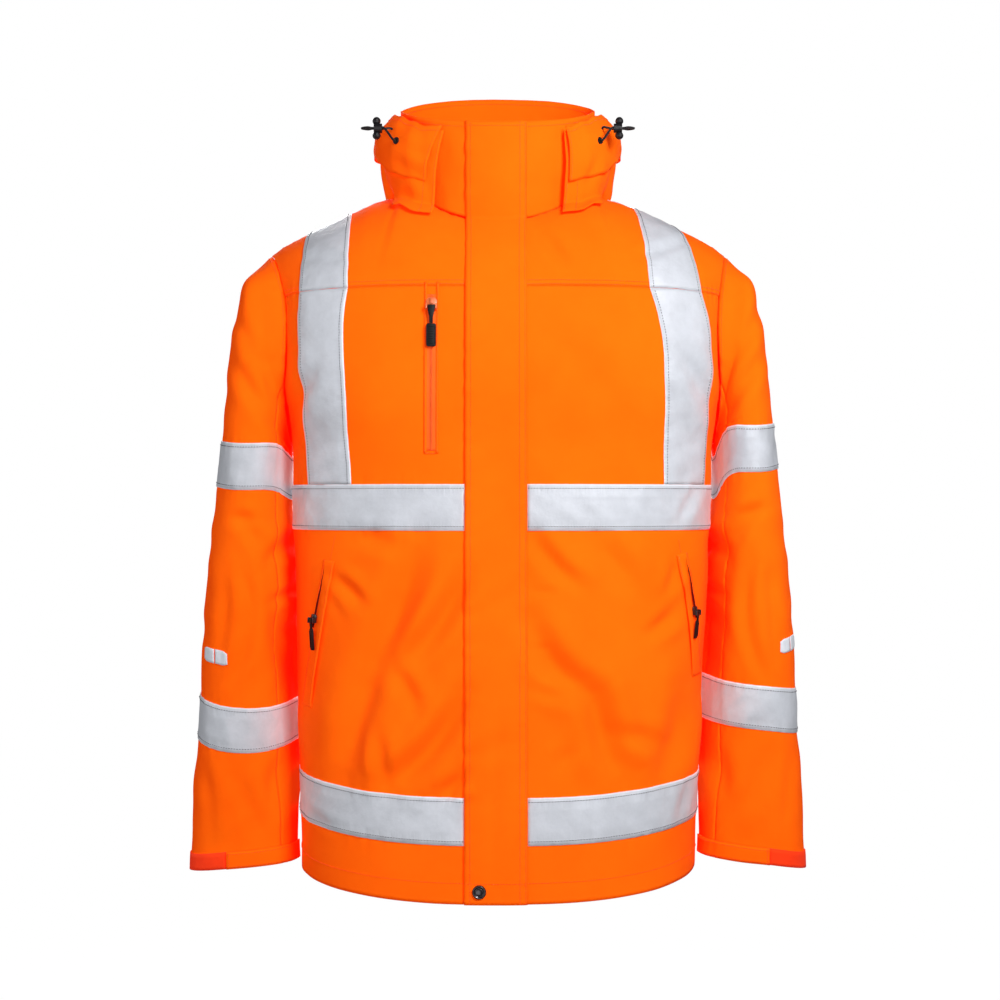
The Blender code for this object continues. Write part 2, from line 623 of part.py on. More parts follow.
def beside_collar(angle, out, z):
    """A point at this height and this far out from the collar."""
    low_z = ring_point(NECK, angle).z
    part = max(0.0, min(1.0, (z - low_z) / (ring_point(COLLAR_TOP, angle).z - low_z)))
    ring = collar_ring(part)
    on_ring = ring_point(ring, angle)
    depth = abs(ring.front_y if math.cos(angle) > 0 else ring.back_y)
    normal = Vector((math.sin(angle) / ring.half_width, -math.cos(angle) / depth, 0.0)).normalized()
    place = on_ring + normal * out
    place.z = z
    return place


def smooth_line(values, count):
    """Values read evenly along a smooth curve through a short list of them."""
    last = len(values) - 1
    line = []
    for k in range(count):
        t = last * k / (count - 1)
        i = min(int(t), last - 1)
        u = t - i
        before, after = values[max(i - 1, 0)], values[min(i + 2, last)]
        a, b = values[i], values[i + 1]
        line.append(0.5 * (2 * a + (b - before) * u + (2 * before - 5 * a + 4 * b - after) * u * u
                           + (3 * a - before - 3 * b + after) * u ** 3))
    return line


def profile_at(table, angle):
    """A profile table read at an angle, as a plain list without the angle."""
    angle = min(max(angle, table[0].angle), table[-1].angle)
    for low, high in zip(table, table[1:]):
        if angle <= high.angle:
            part = (angle - low.angle) / (high.angle - low.angle)
            part = part * part * (3 - 2 * part)
            return [a + (b - a) * part for a, b in zip(low[1:], high[1:])]


def profile_grid(table, starts, end, count, rows, side, tree):
    """A grid over a table of profiles; its first border may lean from foot to top."""
    grid = []
    for i in range(rows):
        t = i / (rows - 1)
        start = starts[0] + (starts[1] - starts[0]) * t
        row = []
        for angle in even_angles(start, end, count):
            profile = profile_at(table, angle)
            out = smooth_line(profile[0::2], rows)[i]
            z = smooth_line(profile[1::2], rows)[i]
            place = beside_collar(side * math.radians(angle), out, z)
            row.append(lifted_clear(place, tree, HOOD_CLEAR) if tree else place)
        grid.append(row)
    return grid


def even_angles(start, end, count):
    """Angles in equal steps, with both ends."""
    return [start] + spread(start, end, count)


def make_hood(tree):
    """The folded-down hood: two sides, a centre panel behind, and the brim folded over them."""
    grids = {}
    behind = []
    for side_name, side in SIDES:
        starts = HOOD_FRONT[side_name]
        grid = profile_grid(HOOD, starts, HOOD_SPLIT, SIDE_COLUMNS, HOOD_ROWS, side, tree)
        cut = inset(grid, end=HOOD_SEAM)
        sheet(f"hood_side_{side_name}", cut, WALL, "orange_shell", ORANGE, False, side)
        split = (HOOD_SPLIT, HOOD_SPLIT)
        behind.append(profile_grid(HOOD, split, 180.0, BEHIND_COLUMNS, HOOD_ROWS, side, tree))
        brim = profile_grid(BRIM, starts, 180.0, BRIM_COLUMNS, BRIM_ROWS, side, None)
        cut = inset(brim, end=GAP)
        sheet(f"hood_brim_{side_name}", cut, WALL, "orange_shell", ORANGE, False, side)
        grids[side_name] = brim
    middle = [r + l[::-1][1:] for r, l in zip(*behind)]
    cut = inset(middle, start=HOOD_SEAM, end=HOOD_SEAM)
    sheet("hood_back", cut, WALL, "orange_shell", ORANGE, False, -1.0)
    return grids


# ---------------------------------------------------------------- trim on the fronts
def front_frame(tree, x, z):
    """A frame on the front's surface: its axes run across, up along the cloth, and out of it."""
    place, normal, _, _ = tree.ray_cast(Vector((x, -1.0, z)), Vector((0.0, 1.0, 0.0)))
    up = (Vector((0.0, 0.0, 1.0)) - normal * normal.z).normalized()
    across = up.cross(normal)
    frame = Matrix((across, up, normal)).transposed().to_4x4()
    frame.translation = place
    return frame


STRIP_PIECES = 16


def front_strip(name, tree, path, width, thickness, gap, look_name, look):
    """A narrow strip that follows a path of x and z on the front, a little above the cloth."""
    rise = WALL / 2 + gap + thickness / 2
    rows = []
    for k in range(STRIP_PIECES + 1):
        t = k / STRIP_PIECES * (len(path) - 1)
        i = min(int(t), len(path) - 2)
        (x0, z0), (x1, z1) = path[i], path[i + 1]
        x, z = x0 + (x1 - x0) * (t - i), z0 + (z1 - z0) * (t - i)
        length = math.hypot(x1 - x0, z1 - z0)
        side_x, side_z = -(z1 - z0) / length, (x1 - x0) / length
        row = []
        for j in range(4):
            shift = width * (j / 3 - 0.5)
            frame = front_frame(tree, x + side_x * shift, z + side_z * shift)
            row.append(frame.translation + frame.col[2].to_3d() * rise)
        rows.append(row)
    return sheet(name, rows, thickness, look_name, look, False, -1.0)


def block(name, frame, centre, size, bevel, look_name, look):
    """A box with rounded edges, placed by its centre in a frame's own axes."""
    mesh = bpy.data.meshes.new(name)
    shape = bmesh.new()
    bmesh.ops.create_cube(shape, size=1.0, matrix=Matrix.Diagonal((*size, 1.0)))
    shape.to_mesh(mesh)
    shape.free()
    obj = link(bpy.data.objects.new(name, mesh), look_name, look)
    obj.matrix_world = frame @ Matrix.Translation(centre)
    rounding = obj.modifiers.new("rounding", "BEVEL")
    rounding.width = bevel
    rounding.segments = 2
    return obj


def extruded(name, frame, outline, length, look_name, look):
    """A flat outline in a frame's across and out axes, given length along its up axis."""
    curve = bpy.data.curves.new(name, "CURVE")
    curve.dimensions = "2D"
    curve.fill_mode = "BOTH"
    curve.extrude = length / 2
    spline = curve.splines.new("POLY")
    spline.points.add(len(outline) - 1)
    for point, (across, out) in zip(spline.points, outline):
        point.co = (across, out, 0.0, 1.0)
    spline.use_cyclic_u = True
    obj = link(bpy.data.objects.new(name, curve), look_name, look)
    obj.matrix_world = frame @ Matrix.Rotation(math.pi / 2, 4, "X")
    return obj


Puller = namedtuple("Puller", "name x z rise width base_height length link grip grip_width")
PULLERS = (
    Puller("chest", -0.0715, -0.139, 0.0013, 0.0120, 0.0020, 0.0135, 0.0185, 0.0250, 0.0105),
    Puller("pocket_right", -0.1985, -0.4800, 0.0022, 0.0110, 0.0014, 0.0100, 0.0, 0.0330, 0.0068),
    Puller("pocket_left", 0.2140, -0.4720, 0.0022, 0.0110, 0.0014, 0.0100, 0.0, 0.0290, 0.0068),
)
CHEEK = 0.0016           # side walls of a slider, which hold its pull's pin
PULL_HEIGHT = 0.0036     # hinge of a pull above the floor of its slider
LINK_THICK = 0.0020
GRIP_THICK = 0.0030
PULL_CLEAR = 0.0012      # clear distance from a pull's end to the trim below it
EYE = 0.0015             # how far a pull's eye reaches past its hinge


def make_puller(puller, tree):
    """A slider on a zip, and the pull that is hinged in it and lies along the cloth."""
    frame = front_frame(tree, puller.x, puller.z)
    foot = WALL / 2 + puller.rise + GAP
    floor = foot + puller.base_height
    hinge_out = floor + PULL_HEIGHT
    half = puller.width / 2
    top = hinge_out + 0.0012
    channel = ((-half, foot), (half, foot), (half, top), (half - CHEEK, top), (half - CHEEK, floor),
               (CHEEK - half, floor), (CHEEK - half, top), (-half, top))
    look = ZIP_ORANGE if puller.name == "chest" else BLACK
    extruded(f"{puller.name}_slider", frame, channel, puller.length, f"{puller.name}_slider", look)
    hinge = frame @ Vector((0.0, -puller.length / 2 + 0.003, hinge_out))
    hang = Matrix.Translation(hinge) @ pull_rest(tree, puller, frame, hinge)
    link_width = puller.width - 2 * CHEEK - 0.0012
    if puller.link > 0:
        middle = Vector((0.0, (EYE - puller.link) / 2, 0.0))
        block(f"{puller.name}_pull_link", hang, middle, (link_width, puller.link + EYE, LINK_THICK),
              0.0004, "black_rubber", BLACK)
        middle = Vector((0.0, -puller.link - GAP - puller.grip / 2, 0.0))
        block(f"{puller.name}_pull_grip", hang, middle, (puller.grip_width, puller.grip, GRIP_THICK),
              0.0008, "black_rubber", BLACK)
    else:
        middle = Vector((0.0, (EYE - puller.grip) / 2, 0.0))
        block(f"{puller.name}_pull", hang, middle, (link_width, puller.grip + EYE, LINK_THICK),
              0.0006, "black_rubber", BLACK)


def pull_rest(tree, puller, frame, hinge):
    """The turn, about the slider's cross line, at which a pull lies just above the cloth."""
    across, along = frame.col[0].to_3d(), frame.col[1].to_3d()
    reach = puller.link + puller.grip
    place, normal, _, _ = tree.find_nearest(hinge - along * reach)
    far = place + normal * (WALL / 2 + puller.rise + GRIP_THICK / 2 + PULL_CLEAR)
    up = hinge - far
    up = (up - across * up.dot(across)).normalized()
    return Matrix((across, up, across.cross(up))).transposed().to_4x4()


CHEST_ZIP = ((-0.0715, -0.128), (-0.0715, -0.297))
POCKETS = {
    "right": ((-0.1835, -0.416), (-0.1930, -0.470), (-0.2030, -0.530), (-0.2115, -0.578)),
    "left": ((0.2010, -0.409), (0.2090, -0.448), (0.2150, -0.490), (0.2210, -0.545)),
}
WELT_WIDTH = 0.013


def make_trim(tree):
    """The chest zip, the pocket welts, the sliders with their pulls, and the snap."""
    front_strip("chest_zip_tape", tree, CHEST_ZIP, 0.014, TAPE, GAP, "zip_tape", ZIP_ORANGE)
    for side_name, _ in SIDES:
        front_strip(f"pocket_welt_{side_name}", tree, POCKETS[side_name], WELT_WIDTH, 0.0012,
                    TRIM_GAP, "orange_shell", ORANGE)
    for puller in PULLERS:
        make_puller(puller, tree)


SNAP_X, SNAP_Z = -0.0195, -0.7610
SNAP_RADIUS, SNAP_HEIGHT = 0.0075, 0.0030


def make_snap():
    """The snap's cap at the hem of the storm flap."""
    low, high = flap_grid[0], flap_grid[1]
    part = (SNAP_Z - low[0].z) / (high[0].z - low[0].z)
    edge = low[0].lerp(high[0], part)
    inner = low[1].lerp(high[1], part)
    place = edge.lerp(inner, (SNAP_X - edge.x) / (inner.x - edge.x))
    out = (high[0] - low[0]).cross(low[1] - low[0]).normalized() * -1.0
    mesh = bpy.data.meshes.new("hem_snap")
    shape = bmesh.new()
    bmesh.ops.create_cone(shape, cap_ends=True, segments=24, radius1=SNAP_RADIUS,
                          radius2=SNAP_RADIUS * 0.84, depth=SNAP_HEIGHT)
    shape.to_mesh(mesh)
    shape.free()
    obj = link(bpy.data.objects.new("hem_snap", mesh), "black_metal", BLACK)
    obj.rotation_euler = out.to_track_quat("Z", "Y").to_euler()
    obj.location = place + out * (WALL / 2 + GAP + 0.0002 + SNAP_HEIGHT / 2)


# ---------------------------------------------------------------- drawcord of the hood
CORD = 0.0026            # diameter of the drawcord
LOCK_X, LOCK_Y, LOCK_Z = 0.1330, -0.0890, 0.0620
LOCK_LENGTH, LOCK_OUTER, LOCK_INNER = 0.0090, 0.0052, 0.0035
LOBE_RADIUS, LOBE_OFFSET = 0.0046, 0.0080
UPPER_EXIT = (57.0, 0.0640)
LOWER_EXIT = (53.0, 0.0500)
PLATE_RADIUS, PLATE_HEIGHT = 0.0042, 0.0014


def brim_surface(tree, side, angle, z):
    """A place on the brim's outer face, and the direction straight out of it."""
    aim = beside_collar(side * math.radians(angle), 0.0, z)
    away = (aim - Vector((0.0, -0.015, z))).normalized()
    place, normal, _, _ = tree.ray_cast(aim + away * 0.1, -away)
    return place + normal * WALL / 2, normal


def make_lock(side_name, side):
    """The cord lock: a barrel that the drawcord's loop runs through, with two lobes."""
    name = f"cord_lock_{side_name}"
    half = LOCK_LENGTH / 2
    mesh = bpy.data.meshes.new(name)
    profile = [(LOCK_OUTER, 0.0, half), (LOCK_OUTER, 0.0, -half),
               (LOCK_INNER, 0.0, -half), (LOCK_INNER, 0.0, half)]
    mesh.from_pydata(profile, [(0, 1), (1, 2), (2, 3), (3, 0)], [])
    barrel = link(bpy.data.objects.new(name, mesh), "black_plastic", BLACK)
    barrel.matrix_world = (Matrix.Translation((side * LOCK_X, LOCK_Y, LOCK_Z))
                           @ Matrix.Rotation(side * math.pi / 2, 4, "Y"))
    turn = barrel.modifiers.new("turn", "SCREW")
    turn.steps = turn.render_steps = 20
    turn.use_merge_vertices = True
    turn.merge_threshold = 0.00005
    for step, across in (("upper", -1.0), ("lower", 1.0)):
        ball_mesh = bpy.data.meshes.new(f"{name}_{step}_lobe")
        shape = bmesh.new()
        bmesh.ops.create_uvsphere(shape, u_segments=12, v_segments=8, radius=LOBE_RADIUS)
        shape.to_mesh(ball_mesh)
        shape.free()
        ball = bpy.data.objects.new(f"{name}_{step}_lobe", ball_mesh)
        ball.location = (side * (LOCK_X + 0.0015), LOCK_Y, LOCK_Z - across * LOBE_OFFSET)
        ball.hide_render = True
        ball.display_type = "WIRE"
        joined_shapes.objects.link(ball)
        union = barrel.modifiers.new(f"{step}_lobe", "BOOLEAN")
        union.operation = "UNION"
        union.object = ball


def make_cord(side_name, side, brim_tree):
    """One side's loop of drawcord: out of the brim, through the cord lock, and back in."""
    (upper, up_normal), (lower, low_normal) = (
        brim_surface(brim_tree, side, *at) for at in (UPPER_EXIT, LOWER_EXIT))
    plate_mesh = bpy.data.meshes.new(f"eyelet_{side_name}")
    shape = bmesh.new()
    bmesh.ops.create_cone(shape, cap_ends=True, segments=20, radius1=PLATE_RADIUS,
                          radius2=PLATE_RADIUS * 0.9, depth=PLATE_HEIGHT)
    shape.to_mesh(plate_mesh)
    shape.free()
    plate = link(bpy.data.objects.new(f"eyelet_{side_name}", plate_mesh), "black_plastic", BLACK)
    plate.rotation_euler = low_normal.to_track_quat("Z", "Y").to_euler()
    plate.location = lower + low_normal * (2 * GAP + PLATE_HEIGHT / 2)
    strand = CORD / 2 + GAP
    near, far, tip = (side * (LOCK_X + d) for d in (-0.0070, 0.0062, 0.0180))
    bulge = side * (LOCK_X + 0.0115)
    route = [
        upper + up_normal * (GAP + 0.0002), upper + up_normal * 0.0045,
        Vector((near, LOCK_Y + strand, LOCK_Z)), Vector((side * LOCK_X, LOCK_Y + strand, LOCK_Z)),
        Vector((far, LOCK_Y + strand, LOCK_Z)), Vector((bulge, LOCK_Y + 0.0052, LOCK_Z)),
        Vector((tip, LOCK_Y, LOCK_Z)),
        Vector((bulge, LOCK_Y - 0.0052, LOCK_Z)), Vector((far, LOCK_Y - strand, LOCK_Z)),
        Vector((side * LOCK_X, LOCK_Y - strand, LOCK_Z)), Vector((near, LOCK_Y - strand, LOCK_Z)),
        lower + low_normal * (PLATE_HEIGHT + 0.0050),
        lower + low_normal * (PLATE_HEIGHT + 3 * GAP + 0.0002),
    ]
    points = smooth_line(route, 49)
    curve = bpy.data.curves.new(f"drawcord_{side_name}", "CURVE")
    curve.dimensions = "3D"
    curve.bevel_depth = CORD / 2
    curve.bevel_resolution = 2
    curve.use_fill_caps = True
    spline = curve.splines.new("POLY")
    spline.points.add(len(points) - 1)
    for target, place in zip(spline.points, points):
        target.co = (*place, 1.0)
    link(bpy.data.objects.new(f"drawcord_{side_name}", curve), "black_cord", BLACK)


# ---------------------------------------------------------------- patches on the sleeves
PATCH_Z = {"right": -0.516, "left": -0.503}
PATCH_ANGLES = {"right": (56.0, 83.0), "left": (46.0, 72.0)}
PATCH_HEIGHT = 0.017
PATCH_GAP = 0.0018
PATCH_COLUMNS = 9
PATCH_AIM_X = 0.290      # middle of the sleeve beside the patch


def make_elbow_patch(side_name, side, grid):
    """A small reflective patch on the outer front of the sleeve, near the elbow."""
    tree = surface_tree([(turn_columns(grid, -6, 12), side)])
    start, end = PATCH_ANGLES[side_name]
    rows = []
    for part in (0.0, 0.5, 1.0):
        row = []
        for degrees in even_angles(start, end, PATCH_COLUMNS):
            angle = math.radians(degrees)
            away = Vector((side * math.cos(angle), -math.sin(angle), 0.0))
            aim = Vector((side * PATCH_AIM_X, 0.0, PATCH_Z[side_name] - PATCH_HEIGHT * part))
            place, normal, _, _ = tree.ray_cast(aim + away * 0.2, -away)
            row.append(place + normal * (WALL / 2 + PATCH_GAP + TAPE / 2))
        rows.append(row)
    sheet(f"elbow_patch_{side_name}", rows, TAPE, "reflective_tape", SILVER, False, side)


# ---------------------------------------------------------------- build
for old in list(bpy.data.objects):
    bpy.data.objects.remove(old, do_unlink=True)
jacket = bpy.data.collections.new("hi_vis_work_jacket")
bpy.context.scene.collection.children.link(jacket)
joined_shapes = bpy.data.collections.new("joined_shapes")
bpy.context.scene.collection.children.link(joined_shapes)

front_grids = make_fronts()
back_panel, back_yoke_panel, back_grids = make_back()
flap_grid = make_centre(front_grids)
make_collar()
sleeve_grids = make_sleeves(front_grids, back_grids)
cloth_tree = surface_tree(
    [(front_grids[name][part], side) for name, side in SIDES for part in (0, 1)]
    + [(back_panel, -1.0), (back_yoke_panel, -1.0)])
brim_grids = make_hood(cloth_tree)
make_trim(cloth_tree)
make_snap()
for side_name, side in SIDES:
    make_elbow_patch(side_name, side, sleeve_grids[side_name])
    make_lock(side_name, side)
    make_cord(side_name, side, surface_tree([(brim_grids[side_name], side)]))
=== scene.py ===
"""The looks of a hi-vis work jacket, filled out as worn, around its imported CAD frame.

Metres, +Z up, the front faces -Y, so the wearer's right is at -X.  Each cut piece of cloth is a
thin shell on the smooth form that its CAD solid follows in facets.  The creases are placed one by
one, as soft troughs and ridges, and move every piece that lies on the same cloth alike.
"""

import json
import math
import random
from collections import namedtuple

import bmesh
import bpy
import numpy as np
from mathutils import Matrix, Vector
from mathutils.bvhtree import BVHTree


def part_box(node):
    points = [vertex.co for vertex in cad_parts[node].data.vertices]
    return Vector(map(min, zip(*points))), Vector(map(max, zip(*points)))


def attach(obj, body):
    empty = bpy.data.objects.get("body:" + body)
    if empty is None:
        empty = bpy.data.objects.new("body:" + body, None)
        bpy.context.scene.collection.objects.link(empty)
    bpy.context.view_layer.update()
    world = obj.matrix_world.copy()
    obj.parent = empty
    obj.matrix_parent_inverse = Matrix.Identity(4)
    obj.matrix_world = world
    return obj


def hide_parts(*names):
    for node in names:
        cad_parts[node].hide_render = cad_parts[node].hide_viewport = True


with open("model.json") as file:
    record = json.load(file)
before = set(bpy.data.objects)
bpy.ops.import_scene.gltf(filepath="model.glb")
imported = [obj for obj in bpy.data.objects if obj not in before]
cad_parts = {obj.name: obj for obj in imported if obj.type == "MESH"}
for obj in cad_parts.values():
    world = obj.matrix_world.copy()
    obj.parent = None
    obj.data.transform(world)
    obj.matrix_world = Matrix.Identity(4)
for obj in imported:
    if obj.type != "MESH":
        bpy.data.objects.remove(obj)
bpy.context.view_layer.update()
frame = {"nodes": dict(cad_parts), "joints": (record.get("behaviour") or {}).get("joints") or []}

# ---------------------------------------------------------------- driving dimensions, as in the CAD
GAP = 0.0003
FLAP_STAND = 0.0036
ZIP_HALF = 0.011
FLAP_RIGHT = -0.035
FLAP_LEFT = 0.031
SHOULDER_X = 0.262
ARMHOLE_GAP = 0.0020
UNDERARM_GAP = 0.0034
CLOTH = 0.0010           # visible thickness of the shell cloth
TAPE_CLOTH = 0.0006      # visible thickness of the reflective tape
SIDES = (("right", -1.0), ("left", 1.0))
TAPE_EDGES = (1, 2, 7, 8)    # row marks at the lower and upper edges of the hem and chest tapes
YOKE_ROW = 14                # row mark of the yoke seam

Ring = namedtuple("Ring", "name centre_x half_width side_z front_y front_z back_y back_z square")
TORSO = [Ring(*row) for row in (
    ("hem",             0.000, 0.2250, -0.763, -0.190, -0.775, 0.152, -0.770, 2.5),
    ("hem_band_low",    0.000, 0.2262, -0.702, -0.187, -0.714, 0.150, -0.708, 2.5),
    ("hem_band_high",   0.001, 0.2275, -0.652, -0.184, -0.664, 0.148, -0.658, 2.5),
    ("hip",             0.001, 0.2295, -0.606, -0.180, -0.612, 0.145, -0.609, 2.5),
    ("waist",           0.002, 0.2312, -0.555, -0.176, -0.558, 0.142, -0.557, 2.5),
    ("rib_low",         0.003, 0.2338, -0.499, -0.171, -0.501, 0.140, -0.500, 2.5),
    ("rib_high",        0.004, 0.2362, -0.440, -0.166, -0.441, 0.140, -0.441, 2.5),
    ("chest_band_low",  0.004, 0.2385, -0.383, -0.160, -0.383, 0.141, -0.383, 2.5),
    ("chest_band_high", 0.005, 0.2395, -0.333, -0.157, -0.333, 0.142, -0.333, 2.5),
    ("armpit",          0.005, 0.2405, -0.285, -0.154, -0.286, 0.143, -0.286, 2.6),
    ("arm_low",         0.005, 0.2450, -0.252, -0.152, -0.252, 0.143, -0.252, 2.9),
    ("arm_front",       0.005, 0.2490, -0.219, -0.149, -0.218, 0.142, -0.219, 3.1),
    ("arm_mid",         0.005, 0.2510, -0.186, -0.146, -0.184, 0.140, -0.186, 3.2),
    ("arm_high",        0.005, 0.2510, -0.153, -0.142, -0.150, 0.136, -0.153, 3.2),
    ("yoke",            0.005, 0.2500, -0.122, -0.137, -0.118, 0.130, -0.122, 3.2),
)]
Armhole = namedtuple("Armhole", "front_y back_y")
ARMHOLE = {
    "arm_low": Armhole(-0.048, 0.046), "arm_front": Armhole(-0.068, 0.064),
    "arm_mid": Armhole(-0.078, 0.072), "arm_high": Armhole(-0.077, 0.071),
    "yoke": Armhole(-0.066, 0.061),
}
NECK = Ring("neck", 0.0, 0.105, 0.004, -0.100, -0.042, 0.064, 0.014, 2.2)
COLLAR_TOP = Ring("collar_top", 0.0, 0.110, 0.101, -0.102, 0.066, 0.072, 0.131, 2.3)

Brace = namedtuple("Brace", "right_inner right_outer left_inner left_outer")
BRACE = {
    "chest_band_high": Brace(0.164, 0.215, 0.175, 0.225),
    "armpit": Brace(0.167, 0.218, 0.175, 0.227),
    "arm_low": Brace(0.168, 0.220, 0.176, 0.229),
    "arm_front": Brace(0.170, 0.222, 0.175, 0.230),
    "arm_mid": Brace(0.172, 0.223, 0.174, 0.230),
    "arm_high": Brace(0.172, 0.224, 0.169, 0.227),
    "yoke": Brace(0.168, 0.223, 0.160, 0.219),
    "shoulder": Brace(0.167, 0.218, 0.152, 0.203),
}
BACK_BRACE = Brace(0.115, 0.166, 0.115, 0.166)

OUTLINE = (
    (0.105, 0.004), (0.120, -0.001), (0.1415, -0.0066), (0.162, -0.016), (0.193, -0.030),
    (0.223, -0.044), (0.249, -0.058), (0.268, -0.072), (0.280, -0.0855), (0.290, -0.099),
    (0.2955, -0.115), (0.3035, -0.155), (0.3080, -0.190), (0.3115, -0.225), (0.3162, -0.280),
    (0.3214, -0.336), (0.3294, -0.392), (0.3350, -0.447), (0.3386, -0.503), (0.3433, -0.614),
    (0.3480, -0.670), (0.3508, -0.768),
)
INNER_LINE = (
    (0.2455, -0.285), (0.2450, -0.360), (0.2410, -0.450), (0.2380, -0.560), (0.2335, -0.700),
    (0.2300, -0.768),
)
Cuff = namedtuple(
    "Cuff", "name outer_z inner_z sag left_outer_z left_inner_z left_sag drop half_depth centre_y tuck")
SLEEVE = [Cuff(*row) for row in (
    ("cap_1",      -0.098, -0.2890,  0.000, -0.0980, -0.2890,  0.000,  2, 0.080,  0.000, 0.0),
    ("cap_2",      -0.130, -0.2912,  0.000, -0.1300, -0.2912,  0.000,  2, 0.086,  0.000, 0.0),
    ("cap_3",      -0.166, -0.2934,  0.000, -0.1630, -0.2934,  0.000,  2, 0.090,  0.000, 0.0),
    ("cap_4",      -0.204, -0.2956,  0.000, -0.1960, -0.2956,  0.000,  2, 0.091,  0.000, 0.0),
    ("cap_5",      -0.243, -0.2978,  0.000, -0.2290, -0.2978,  0.000,  2, 0.091, -0.001, 0.0),
    ("upper_top",  -0.282, -0.3000, -0.005, -0.2620, -0.3000, -0.005, 14, 0.090, -0.001, 0.0),
    ("upper_low",  -0.334, -0.3500, -0.005, -0.3130, -0.3490, -0.006, 10, 0.088, -0.002, 0.0),
    ("arm_1",      -0.392, -0.4000, -0.003, -0.3760, -0.3900, -0.003,  5, 0.085, -0.003, 0.0035),
    ("arm_2",      -0.452, -0.4560, -0.004, -0.4380, -0.4440, -0.001,  3, 0.082, -0.004, 0.0045),
    ("elbow",      -0.512, -0.5160, -0.007, -0.5020, -0.5000,  0.002,  2, 0.079, -0.006, 0.0055),
    ("lower_top",  -0.570, -0.5786, -0.009, -0.5635, -0.5505,  0.004,  2, 0.074, -0.009, 0.0055),
    ("lower_low",  -0.620, -0.6260, -0.010, -0.6145, -0.6000,  0.005,  2, 0.068, -0.013, 0.0055),
    ("forearm",    -0.681, -0.6790,  0.000, -0.6780, -0.6660,  0.006,  2, 0.059, -0.018, 0.0055),
    ("cuff_seam",  -0.745, -0.7325,  0.005, -0.7430, -0.7262,  0.007,  2, 0.049, -0.023, 0.0030),
    ("cuff",       -0.770, -0.7580,  0.005, -0.7680, -0.7517,  0.007,  2, 0.045, -0.025, 0.0020),
)]
SLEEVE_SQUARE = 2.3
TUCK_AT = math.radians(210.0)
TUCK_POWER = 8
SLEEVE_COLUMNS = 18

Profile = namedtuple("Profile", "angle seam_out seam_z low_out low_z belly_out belly_z rim_out rim_z")
HOOD = [Profile(*row) for row in (
    (27.0,  0.007, -0.046, 0.009, -0.018, 0.011, 0.020, 0.008, 0.058),
    (37.0,  0.008, -0.047, 0.011, -0.018, 0.013, 0.018, 0.010, 0.058),
    (48.0,  0.020, -0.042, 0.020, -0.022, 0.020, 0.014, 0.015, 0.058),
    (60.0,  0.024, -0.026, 0.024, -0.010, 0.023, 0.020, 0.018, 0.060),
    (74.0,  0.014, -0.006, 0.020, 0.004, 0.022, 0.026, 0.021, 0.058),
    (90.0,  0.011, 0.008, 0.017, 0.020, 0.021, 0.036, 0.024, 0.056),
    (112.0, 0.014, 0.020, 0.026, -0.010, 0.038, 0.004, 0.036, 0.056),
    (136.0, 0.016, 0.030, 0.050, -0.066, 0.080, -0.062, 0.054, 0.058),
    (160.0, 0.017, 0.034, 0.055, -0.094, 0.092, -0.092, 0.062, 0.060),
    (180.0, 0.017, 0.035, 0.056, -0.100, 0.096, -0.098, 0.065, 0.061),
)]
Brim = namedtuple("Brim", "angle edge_out edge_z crest_out crest_z inner_out inner_z")
BRIM = [Brim(*row) for row in (
    (27.0,  0.0140, 0.000, 0.0145, 0.036, 0.0120, 0.062),
    (37.0,  0.0168, 0.002, 0.0170, 0.038, 0.0134, 0.063),
    (48.0,  0.0240, 0.008, 0.0230, 0.048, 0.0140, 0.072),
    (60.0,  0.029, 0.016, 0.026, 0.059, 0.013, 0.081),
    (74.0,  0.032, 0.033, 0.028, 0.066, 0.012, 0.088),
    (90.0,  0.033, 0.051, 0.029, 0.071, 0.011, 0.092),
    (112.0, 0.045, 0.050, 0.041, 0.074, 0.012, 0.096),
    (136.0, 0.076, 0.046, 0.064, 0.080, 0.015, 0.100),
    (160.0, 0.089, 0.042, 0.075, 0.086, 0.017, 0.104),
    (180.0, 0.093, 0.040, 0.079, 0.088, 0.017, 0.106),
)]


# ---------------------------------------------------------------- small maths on arrays
def cubic(values, places):
    """Reads a list of arrays at fractional places along a smooth curve through them."""
    values = np.asarray(values, float)
    last = len(values) - 1
    places = np.clip(np.asarray(places, float), 0.0, last)
    i = np.minimum(places.astype(int), last - 1)
    u = (places - i).reshape((-1,) + (1,) * (values.ndim - 1))
    a, b = values[i], values[i + 1]
    before = np.where((i > 0).reshape(u.shape), values[np.maximum(i - 1, 0)], 2 * a - b)
    after = np.where((i + 2 <= last).reshape(u.shape), values[np.minimum(i + 2, last)], 2 * b - a)
    return 0.5 * (2 * a + (b - before) * u + (2 * before - 5 * a + 4 * b - after) * u * u
                  + (3 * a - before - 3 * b + after) * u ** 3)


def steps(spans, size):
    """Fractional places along a list of stretches, no further apart than size allows."""
    places = [0.0]
    for k, span in enumerate(spans):
        count = max(2, int(math.ceil(span / size)))
        places += [k + (j + 1) / count for j in range(count)]
    return np.array(places)


def signed_power(value, exponent):
    """A power that keeps the sign."""
    return np.copysign(np.abs(value) ** exponent, value)


def ring_points(fields, angles, crown=2.0):
    """Points on rings, whose fields are an array with a row for each row of angles."""
    centre_x, half_width, side_z, front_y, front_z, back_y, back_z, square = np.moveaxis(fields, -1, 0)
    sine, cosine = np.sin(angles), np.cos(angles)
    bend = 2.0 / square
    front = cosine > 0
    depth = np.where(front, front_y, back_y)
    end_z = np.where(front, front_z, back_z)
    return np.stack((
        centre_x + half_width * signed_power(sine, bend),
        depth * np.abs(cosine) ** bend,
        side_z + (end_z - side_z) * np.abs(cosine) ** crown,
    ), axis=-1)


def fields_of(ring):
    """A ring's numbers as an array."""
    return np.array(ring[1:], float)


def ring_point(ring, angle):
    """One point on one ring."""
    return ring_points(fields_of(ring), np.array(angle))


